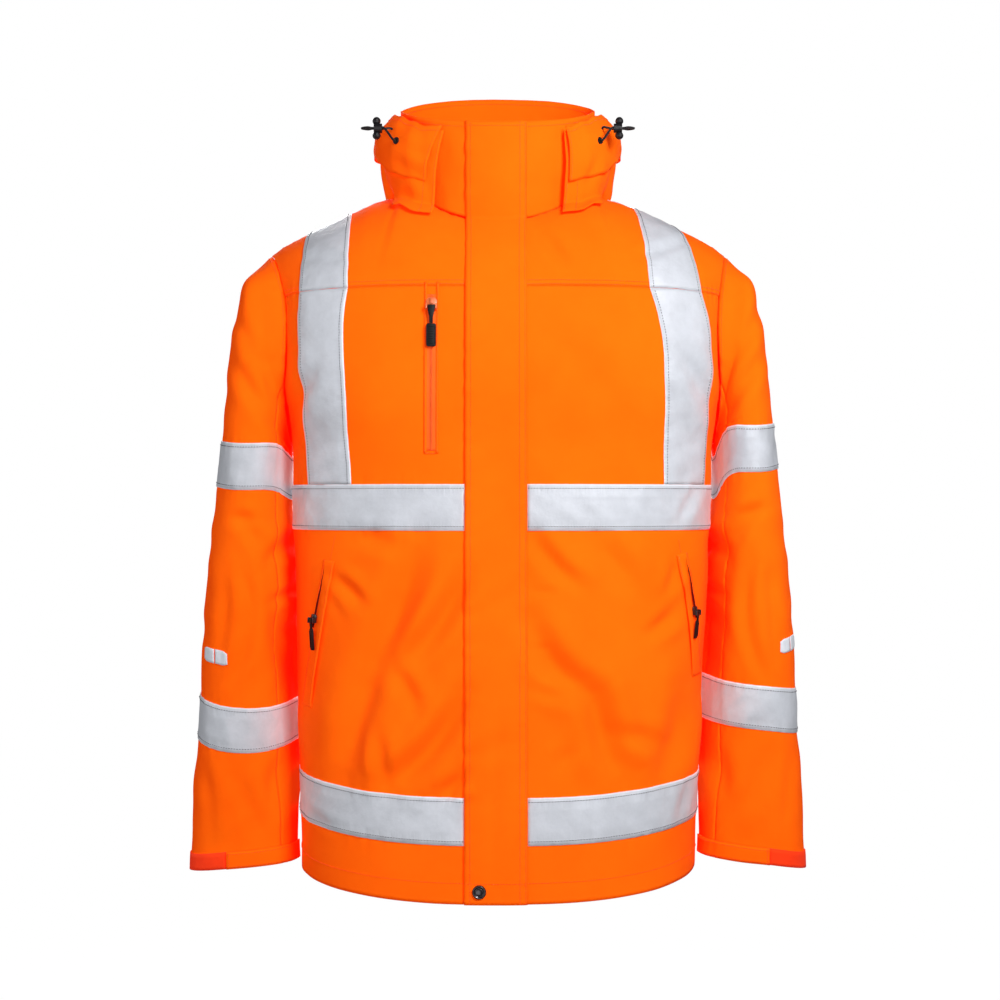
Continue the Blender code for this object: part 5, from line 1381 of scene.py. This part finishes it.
def make_pocket(tree, side_name, side):
    """A pocket's welt: flush with the cloth outside, and standing off it along the opening."""
    inner = 0.0065 * side
    shifts = np.linspace(-inner, inner, 7)
    rises = (0.0034, 0.0031, 0.0026, 0.0021, 0.0016, 0.0012, 0.0009)
    grid, normals = front_grid(tree, POCKETS[side_name], shifts, rises, 60)
    ends = np.clip(np.minimum(np.arange(60), 59 - np.arange(60)) / 14.0, 0, 1) ** 0.6
    grid -= normals * ((np.array(rises) - 0.0009)[None, :, None] * (1 - ends)[:, None, None])
    cloth_piece(f"welt_{side_name}", grid, side > 0, CLOTH, ORANGE, [f"pocket_welt_{side_name}"])
    bars = normals * CLOTH / 2
    stitch(grid + bars, normals, "orange", ("start", 0.0016), ("end", 0.0018))


def make_mouth(tree, side_name):
    """A dark strip of painted shadow that stands for a hand pocket's open mouth, where no opening is cut, and
    the sewn line that leads to it.
    """
    grid, _ = front_grid(tree, MOUTHS[side_name], (-0.0011, 0.0, 0.0011), (0.0041, 0.0043, 0.0041), 40)
    taper = np.clip(np.arange(40) / 26.0, 0.05, 1)[:, None, None]
    grid = grid[:, 1:2] + (grid - grid[:, 1:2]) * taper
    # The strip is painted shadow, laid on the welt in place of an opening.
    mouth = cloth_piece(f"pocket_mouth_shadow_{side_name}", grid, False, 0.0003, PAINTED_POCKET_SHADOW, [])
    grid, normals = front_grid(tree, MOUTH_TOPS[side_name], (-0.001, 0.001), [CLOTH / 2] * 2, 30)
    stitch(grid, normals, "orange", ("start", 0.001))


# ---------------------------------------------------------------- sliders, pulls and other hard parts
def solid_piece(name, build, place, look, body, replaced=(), bevel=0.0003):
    """A hard part made from bmesh shapes in its own axes, rounded, and placed by a matrix."""
    mesh = bpy.data.meshes.new(name)
    shape = bmesh.new()
    build(shape)
    shape.to_mesh(mesh)
    shape.free()
    mesh.transform(place)
    mesh.materials.append(look)
    mesh.shade_smooth()
    obj = bpy.data.objects.new(name, mesh)
    bpy.context.scene.collection.objects.link(obj)
    rounding = obj.modifiers.new("rounding", "BEVEL")
    rounding.width = bevel
    rounding.segments = 2
    rounding.limit_method = "ANGLE"
    rounding.angle_limit = math.radians(32)
    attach(obj, body)
    for node in replaced:
        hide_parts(node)
    return obj


def add_box(shape, centre, size):
    """A box in a bmesh."""
    bmesh.ops.create_cube(shape, size=1.0, matrix=Matrix.Translation(centre) @ Matrix.Diagonal((*size, 1.0)))


def add_plate(shape, outline, low, high):
    """A flat outline in x and y, given thickness in z."""
    below = [shape.verts.new((x, y, low)) for x, y in outline]
    above = [shape.verts.new((x, y, high)) for x, y in outline]
    shape.faces.new(below[::-1])
    shape.faces.new(above)
    for k in range(len(outline)):
        n = (k + 1) % len(outline)
        shape.faces.new((below[k], below[n], above[n], above[k]))


def rounded_outline(half_x, half_y, radius, count=5):
    """The outline of a rectangle with round corners."""
    points = []
    for corner in range(4):
        cx = (half_x - radius) * (1, -1, -1, 1)[corner]
        cy = (half_y - radius) * (1, 1, -1, -1)[corner]
        for k in range(count + 1):
            angle = math.pi / 2 * (corner + k / count)
            points.append((cx + radius * math.cos(angle), cy + radius * math.sin(angle)))
    return points


def node_frame(names, hinge, across_hint, out_hint):
    """A pull's frame at its hinge, with y against its length: from the shape of its CAD nodes."""
    points = np.concatenate([np.array([v.co[:] for v in frame["nodes"][n].data.vertices]) for n in names])
    corners = np.array([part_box(n) for n in names]).reshape(-1, 3)
    along = hinge - (corners.min(axis=0) + corners.max(axis=0)) / 2
    across = np.array(across_hint) / np.linalg.norm(across_hint)
    along -= across * along.dot(across)
    along /= np.linalg.norm(along)
    out = np.cross(across, along)
    if out.dot(out_hint) < 0:
        across, out = -across, -out
    rel = points - hinge
    matrix = Matrix((across, along, out)).transposed().to_4x4()
    matrix.translation = Vector(hinge)
    return matrix, (rel @ across, rel @ along, rel @ out)


def ribbed_grip(shape, low_y, high_y, half_x, low_z, high_z, ribs):
    """A moulded grip with a sunk face and cross ribs, between two heights and two ends."""
    middle, half_y = (low_y + high_y) / 2, (high_y - low_y) / 2
    outline = [(x, y + middle) for x, y in rounded_outline(half_x, half_y, min(half_x, half_y) * 0.45)]
    add_plate(shape, outline, low_z, high_z - 0.0005)
    rim = 0.0011
    for side in (-1, 1):
        add_box(shape, (side * (half_x - rim / 2 - 0.0001), middle, high_z - 0.0004),
                (rim, 2 * half_y - 0.0050, 0.0009))
    for k in range(ribs):
        y = low_y + 0.0035 + (high_y - low_y - 0.0070) * k / (ribs - 1)
        add_box(shape, (0.0, y, high_z - 0.0004), (2 * half_x - 2 * rim - 0.0012, 0.0010, 0.0008))


JOINTS = {joint["child"]: joint for joint in frame["joints"]}


def make_pulls():
    """The pulls, on their own bodies, each as its CAD nodes lie."""
    joint = JOINTS["chest_pull"]
    hinge = np.array(joint["pos_m"])
    place, _ = node_frame(("chest_pull_link", "chest_pull_grip"), hinge, joint["axis"], (0, -1, 0))
    _, (across, along, _) = node_frame(("chest_pull_link",), hinge, joint["axis"], (0, -1, 0))
    top, low = along.max(), along.min()

    def link_shape(shape):
        half = (across.max() - across.min()) / 2
        outline = [(half, top), (-half, top), (-half, top - 0.0060), (-half * 0.55, low + 0.0075),
                   (-half * 0.50, low), (half * 0.50, low), (half * 0.55, low + 0.0075), (half, top - 0.0060)]
        add_plate(shape, outline, -0.0010, 0.0010)
        for side in (-1, 1):
            add_box(shape, (side * half * 0.30, (low + 0.0075 + low) / 2, 0.0009), (0.0012, 0.0070, 0.0010))

    solid_piece("chest_link", link_shape, place, BLACK_RUBBER, "chest_pull", ["chest_pull_link"])
    _, (across, along, _) = node_frame(("chest_pull_grip",), hinge, joint["axis"], (0, -1, 0))
    across_half = (across.max() - across.min()) / 2

    def grip_shape(shape):
        ribbed_grip(shape, along.min(), along.max(), across_half, -0.0015, 0.0015, 8)

    solid_piece("chest_grip", grip_shape, place, BLACK_RUBBER, "chest_pull", ["chest_pull_grip"])
    for side_name, side in SIDES:
        body = f"pocket_pull_{side_name}"
        joint = JOINTS[body]
        hinge = np.array(joint["pos_m"])
        node = f"pocket_{side_name}_pull"
        place, (across, along, _) = node_frame((node,), hinge, joint["axis"], (0, -1, 0))
        half, top, low = (across.max() - across.min()) / 2, along.max(), along.min()

        def pull_shape(shape):
            add_plate(shape, [(half * 0.8, top), (-half * 0.8, top), (-half * 0.45, top - 0.0080),
                              (-half * 0.45, top - 0.0110), (half * 0.45, top - 0.0110),
                              (half * 0.45, top - 0.0080)], -0.0009, 0.0009)
            ribbed_grip(shape, low, top - 0.0105, half, -0.0010, 0.0010, 7)

        solid_piece(f"pull_{side_name}", pull_shape, place, BLACK_RUBBER, body, [node])


def slider_frame(node, child):
    """A slider's frame at the middle of its foot, from its box and its pull's joint."""
    joint = JOINTS[child]
    across = np.array(joint["axis"])
    points = np.array([v.co[:] for v in frame["nodes"][node].data.vertices])
    centre = points.mean(axis=0)
    out = np.array((0.0, -1.0, 0.0))
    up = np.cross(out, across)
    up = up if up[2] > 0 else -up
    up -= np.array(across) * up.dot(across)
    # The slider's length runs up the cloth: the direction in which its points spread most evenly.
    best = None
    for step in range(-30, 31):
        turn = Matrix.Rotation(math.radians(step), 3, Vector(across))
        trial = np.array(turn @ Vector(up / np.linalg.norm(up)))
        spread_out = np.ptp(points @ trial) * np.ptp(points @ np.cross(across, trial))
        if best is None or spread_out < best[0]:
            best = (spread_out, trial)
    up = best[1]
    out = np.cross(across, up)
    if out[1] > 0:
        across, out = -across, -out
    foot = centre + out * ((points - centre) @ out).min()
    middle = ((points - centre) @ up).max() / 2 + ((points - centre) @ up).min() / 2
    foot = foot + up * middle
    matrix = Matrix((across, up, out)).transposed().to_4x4()
    matrix.translation = Vector(foot)
    return matrix, [np.ptp(points @ axis) for axis in (across, up, out)]


CHEEK = 0.0015           # thickness of a slider's cheek


def make_sliders():
    """The sliders, each a body with a waist, wings over the teeth and cheeks for the pull's pin."""
    for name, child, look, slot in (
            ("chest_slider", "chest_pull", ORANGE_METAL, "orange_slider"),
            ("pocket_right_slider", "pocket_pull_right", BLACK_METAL, "black_slider"),
            ("pocket_left_slider", "pocket_pull_left", BLACK_METAL, "black_slider")):
        place, (width, length, height) = slider_frame(name, child)
        half, end = width / 2, length / 2
        floor = height - 0.0046

        def slider_shape(shape):
            outline = [(half * 0.55, end), (half * 0.92, end * 0.72), (half, end * 0.30),
                       (half * 0.80, -end * 0.35), (half * 0.62, -end)]
            outline = outline + [(-x, y) for x, y in outline[::-1]]
            add_plate(shape, outline, 0.0, floor)
            for side in (-1, 1):
                inner = side * (half - CHEEK)
                cheek = [(inner, -end * 0.98), (side * half, -end * 0.98),
                         (side * half, -end + 0.0052), (inner, -end + 0.0064)]
                add_plate(shape, cheek[::side], floor * 0.5, height - 0.0002)
            add_plate(shape, [(0.0016, end * 0.80), (-0.0016, end * 0.80), (-0.0016, -end * 0.05),
                              (0.0016, -end * 0.05)], floor * 0.5, floor + 0.0016)

        solid_piece(f"visible_{name}", slider_shape, place, look, "jacket", [name])


def finish_kept(node, look):
    """A CAD node that stays, with its finish in its material slots."""
    obj = frame["nodes"][node]
    for slot in obj.material_slots:
        slot.material = look


# ---------------------------------------------------------------- snap, eyelets, patches and drawcords
def make_snap():
    """The snap's cap: a rim, a sunk ring and a domed middle, turned as one profile."""
    points = np.array([v.co[:] for v in frame["nodes"]["hem_snap"].data.vertices])
    centre = points.mean(axis=0)
    out = np.linalg.svd(points - centre)[2][2]
    out = out if out[1] < 0 else -out
    place = Vector(out).to_track_quat("Z", "Y").to_matrix().to_4x4()
    place.translation = Vector(centre)
    half = np.ptp(points @ out) / 2
    radius = np.linalg.norm(np.cross(points - centre, out), axis=1).max()
    profile = [(0.0, half * 0.80), (0.30, half * 0.74), (0.50, half * 0.50), (0.58, half * 0.30),
               (0.66, half * 0.55), (0.78, half * 0.95), (0.88, half * 0.85), (0.98, 0.0), (1.0, -half * 0.6),
               (0.94, -half), (0.0, -half)]

    def cap(shape):
        rings = []
        for part, z in profile:
            if part == 0.0:
                rings.append([shape.verts.new((0.0, 0.0, z))])
            else:
                rings.append([shape.verts.new((radius * part * math.cos(a), radius * part * math.sin(a), z))
                              for a in (2 * math.pi * k / 40 for k in range(40))])
        for inner, outer in zip(rings, rings[1:]):
            for k in range(40):
                n = (k + 1) % 40
                if len(inner) == 1:
                    shape.faces.new((inner[0], outer[k], outer[n]))
                elif len(outer) == 1:
                    shape.faces.new((inner[k], outer[0], inner[n]))
                else:
                    shape.faces.new((inner[k], outer[k], outer[n], inner[n]))

    solid_piece("snap_cap", cap, place, BLACK_METAL, "jacket", ["hem_snap"])


PATCH_ANGLES = {"right": (56.0, 83.0), "left": (46.0, 72.0)}


def make_patches(sleeves):
    """Two small reflective patches on the outer front of each sleeve, near the elbow."""
    for side_name, side in SIDES:
        tree = tree_of((sleeves[side_name].lifted(columns=(-6, 6)), side < 0))
        lows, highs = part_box(f"elbow_patch_{side_name}")
        first, last = PATCH_ANGLES[side_name]
        for name, start, end in (("outer", first, last - 13.0), ("inner", last - 11.7, last)):
            grid = np.empty((7, 9, 3))
            normals = np.empty((7, 9, 3))
            for i in range(7):
                for j in range(9):
                    round_off = 0.0022 * max(0.0, (j / 8 if name == "inner" else 1 - j / 8) - 0.7) / 0.3
                    part = i / 6
                    z = highs[2] - 0.0006 - round_off - (highs[2] - lows[2] - 0.0012 - 2 * round_off) * part
                    z -= 0.0025 * (j / 8 if name == "outer" else 1.0 + j / 8) - 0.0025
                    angle = math.radians(start + (end - start) * j / 8)
                    away = Vector((side * math.cos(angle), -math.sin(angle), 0.0))
                    aim = Vector((side * 0.290, 0.0, z))
                    place, normal, _, _ = tree.ray_cast(aim + away * 0.2, -away)
                    grid[i, j], normals[i, j] = place + normal * 0.0014, normal
            replaced = [f"elbow_patch_{side_name}"] if name == "inner" else []
            obj = cloth_piece(f"patch_{name}_{side_name}", grid, side > 0, TAPE_CLOTH, SILVER, replaced)


# Each cord's route: out of the brim, through its lock, round, and back in at the eyelet.
DRAWCORD = (
    (0.12600, -0.08740, 0.06200), (0.13300, -0.08740, 0.06200), (0.13920, -0.08740, 0.06200),
    (0.14450, -0.08380, 0.06200), (0.15100, -0.08900, 0.06200), (0.14450, -0.09420, 0.06200),
    (0.13920, -0.09060, 0.06200), (0.13300, -0.09060, 0.06200), (0.12600, -0.09060, 0.06200),
)
DRAWCORD_OUT = {
    "right": ((0.11778, -0.07194, 0.06437), (0.12102, -0.07407, 0.06535)),
    "left": ((0.11618, -0.07158, 0.06475), (0.11835, -0.07427, 0.06676)),
}
DRAWCORD_IN = {
    "right": ((0.11711, -0.08398, 0.05120), (0.11457, -0.08109, 0.05057)),
    "left": ((0.11770, -0.08341, 0.05140), (0.11487, -0.08083, 0.05066)),
}
CORD = 0.0026


def make_drawcords():
    """Each side's loop of drawcord, from the brim through the cord lock and back."""
    for side_name, side in SIDES:
        route = DRAWCORD_OUT[side_name] + DRAWCORD + DRAWCORD_IN[side_name]
        route = np.array(route) * np.array((side, 1.0, 1.0))
        points = cubic(route, np.linspace(0, len(route) - 1, 40))
        curve = bpy.data.curves.new(f"cord_{side_name}", "CURVE")
        curve.dimensions = "3D"
        curve.bevel_depth = CORD / 2
        curve.bevel_resolution = 4
        curve.use_fill_caps = True
        spline = curve.splines.new("POLY")
        spline.points.add(len(points) - 1)
        for target, place in zip(spline.points, points):
            target.co = (*place, 1.0)
        curve.materials.append(BLACK_CORD)
        obj = bpy.data.objects.new(f"cord_{side_name}", curve)
        bpy.context.scene.collection.objects.link(obj)
        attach(obj, "jacket")
        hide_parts(f"drawcord_{side_name}")


# ---------------------------------------------------------------- stage, camera and light
def make_stage():
    """A white sweep behind and under the jacket."""
    white = bpy.data.materials.new("white_sweep")
    _, shader = nodes_of(white)
    shader.inputs["Base Color"].default_value = (0.02, 0.02, 0.02, 1.0)
    shader.inputs["Roughness"].default_value = 0.9
    shader.inputs["Specular IOR Level"].default_value = 0.0
    shader.inputs["Emission Color"].default_value = (1.0, 1.0, 1.0, 1.0)
    shader.inputs["Emission Strength"].default_value = 1.0
    mesh = bpy.data.meshes.new("sweep")
    half = 7.0
    mesh.from_pydata([(-half, -half, FLOOR), (half, -half, FLOOR), (half, half, FLOOR), (-half, half, FLOOR)],
                     [], [(0, 1, 2, 3)])
    mesh.materials.append(white)
    obj = bpy.data.objects.new("sweep", mesh)
    obj.visible_diffuse = False
    obj.visible_glossy = False
    bpy.context.scene.collection.objects.link(obj)


def area_light(name, place, aim, size, power, colour=(1.0, 1.0, 1.0)):
    """A soft square light that faces a point."""
    data = bpy.data.lights.new(name, "AREA")
    data.shape = "SQUARE"
    data.size = size
    data.energy = power
    data.color = colour
    obj = bpy.data.objects.new(name, data)
    obj.location = place
    obj.rotation_euler = (Vector(aim) - Vector(place)).to_track_quat("-Z", "Y").to_euler()
    obj.visible_camera = False
    bpy.context.scene.collection.objects.link(obj)


def make_camera():
    """The camera, straight in front of the jacket."""
    data = bpy.data.cameras.new("camera")
    data.lens = CAMERA_LENS
    data.sensor_width = 36.0
    obj = bpy.data.objects.new("camera", data)
    obj.location = CAMERA_PLACE
    obj.rotation_euler = (math.pi / 2, 0.0, 0.0)
    bpy.context.scene.collection.objects.link(obj)
    bpy.context.scene.camera = obj


def make_world():
    """Even white surroundings."""
    world = bpy.data.worlds.new("surroundings")
    world.use_nodes = True
    background = world.node_tree.nodes["Background"]
    background.inputs["Color"].default_value = (1.0, 1.0, 1.0, 1.0)
    background.inputs["Strength"].default_value = 1.0
    bpy.context.scene.world = world
    world.cycles_visibility.diffuse = False
    world.cycles_visibility.glossy = False
    view = bpy.context.scene.view_settings
    view.view_transform = "Standard"
    view.look = "None"
    view.exposure = 0.0
    view.gamma = 1.0


CAMERA_PLACE = (0.0023, -2.0, -0.350)
CAMERA_LENS = 62.06
FLOOR = -1.6
MIDDLE = (0.0, 0.0, -0.35)

make_camera()
make_world()
make_stage()
area_light("key", (0.62, -1.40, 0.40), (0.0, 0.0, -0.40), 0.50, 25.0)
area_light("front_fill", (-0.7, -2.7, -1.0), MIDDLE, 1.8, 23.0)
area_light("side_right", (-2.4, -0.6, 0.2), MIDDLE, 1.6, 15.0)
area_light("side_left", (2.4, -0.6, 0.2), MIDDLE, 1.6, 9.0)
area_light("back_key", (-0.3, 1.6, 0.55), (0.0, 0.0, -0.30), 0.7, 22.0)
area_light("back_fill", (0.4, 2.8, -0.4), MIDDLE, 1.8, 22.0)

fronts = make_fronts()
back, back_yoke = make_back()
flap, flap_shell = make_centre()
make_collar()
sleeves = make_sleeves(fronts, back, back_yoke)
cloth_tree = tree_of(*[(grid.lifted(), grid.flip) for pair in fronts.values() for grid in pair],
                     (back.lifted(), True), (back_yoke.lifted(), True))
brims = make_hood(cloth_tree)
make_chest_zip(cloth_tree)
for side_name, side in SIDES:
    make_pocket(cloth_tree, side_name, side)
    make_mouth(cloth_tree, side_name)
make_pulls()
make_sliders()
make_snap()
make_patches(sleeves)
make_drawcords()
for side_name, _ in SIDES:
    finish_kept(f"cord_lock_{side_name}", BLACK_PLASTIC)
    finish_kept(f"eyelet_{side_name}", BLACK_PLASTIC)
make_stitches("orange", ORANGE_THREAD)
make_stitches("grey", GREY_THREAD)
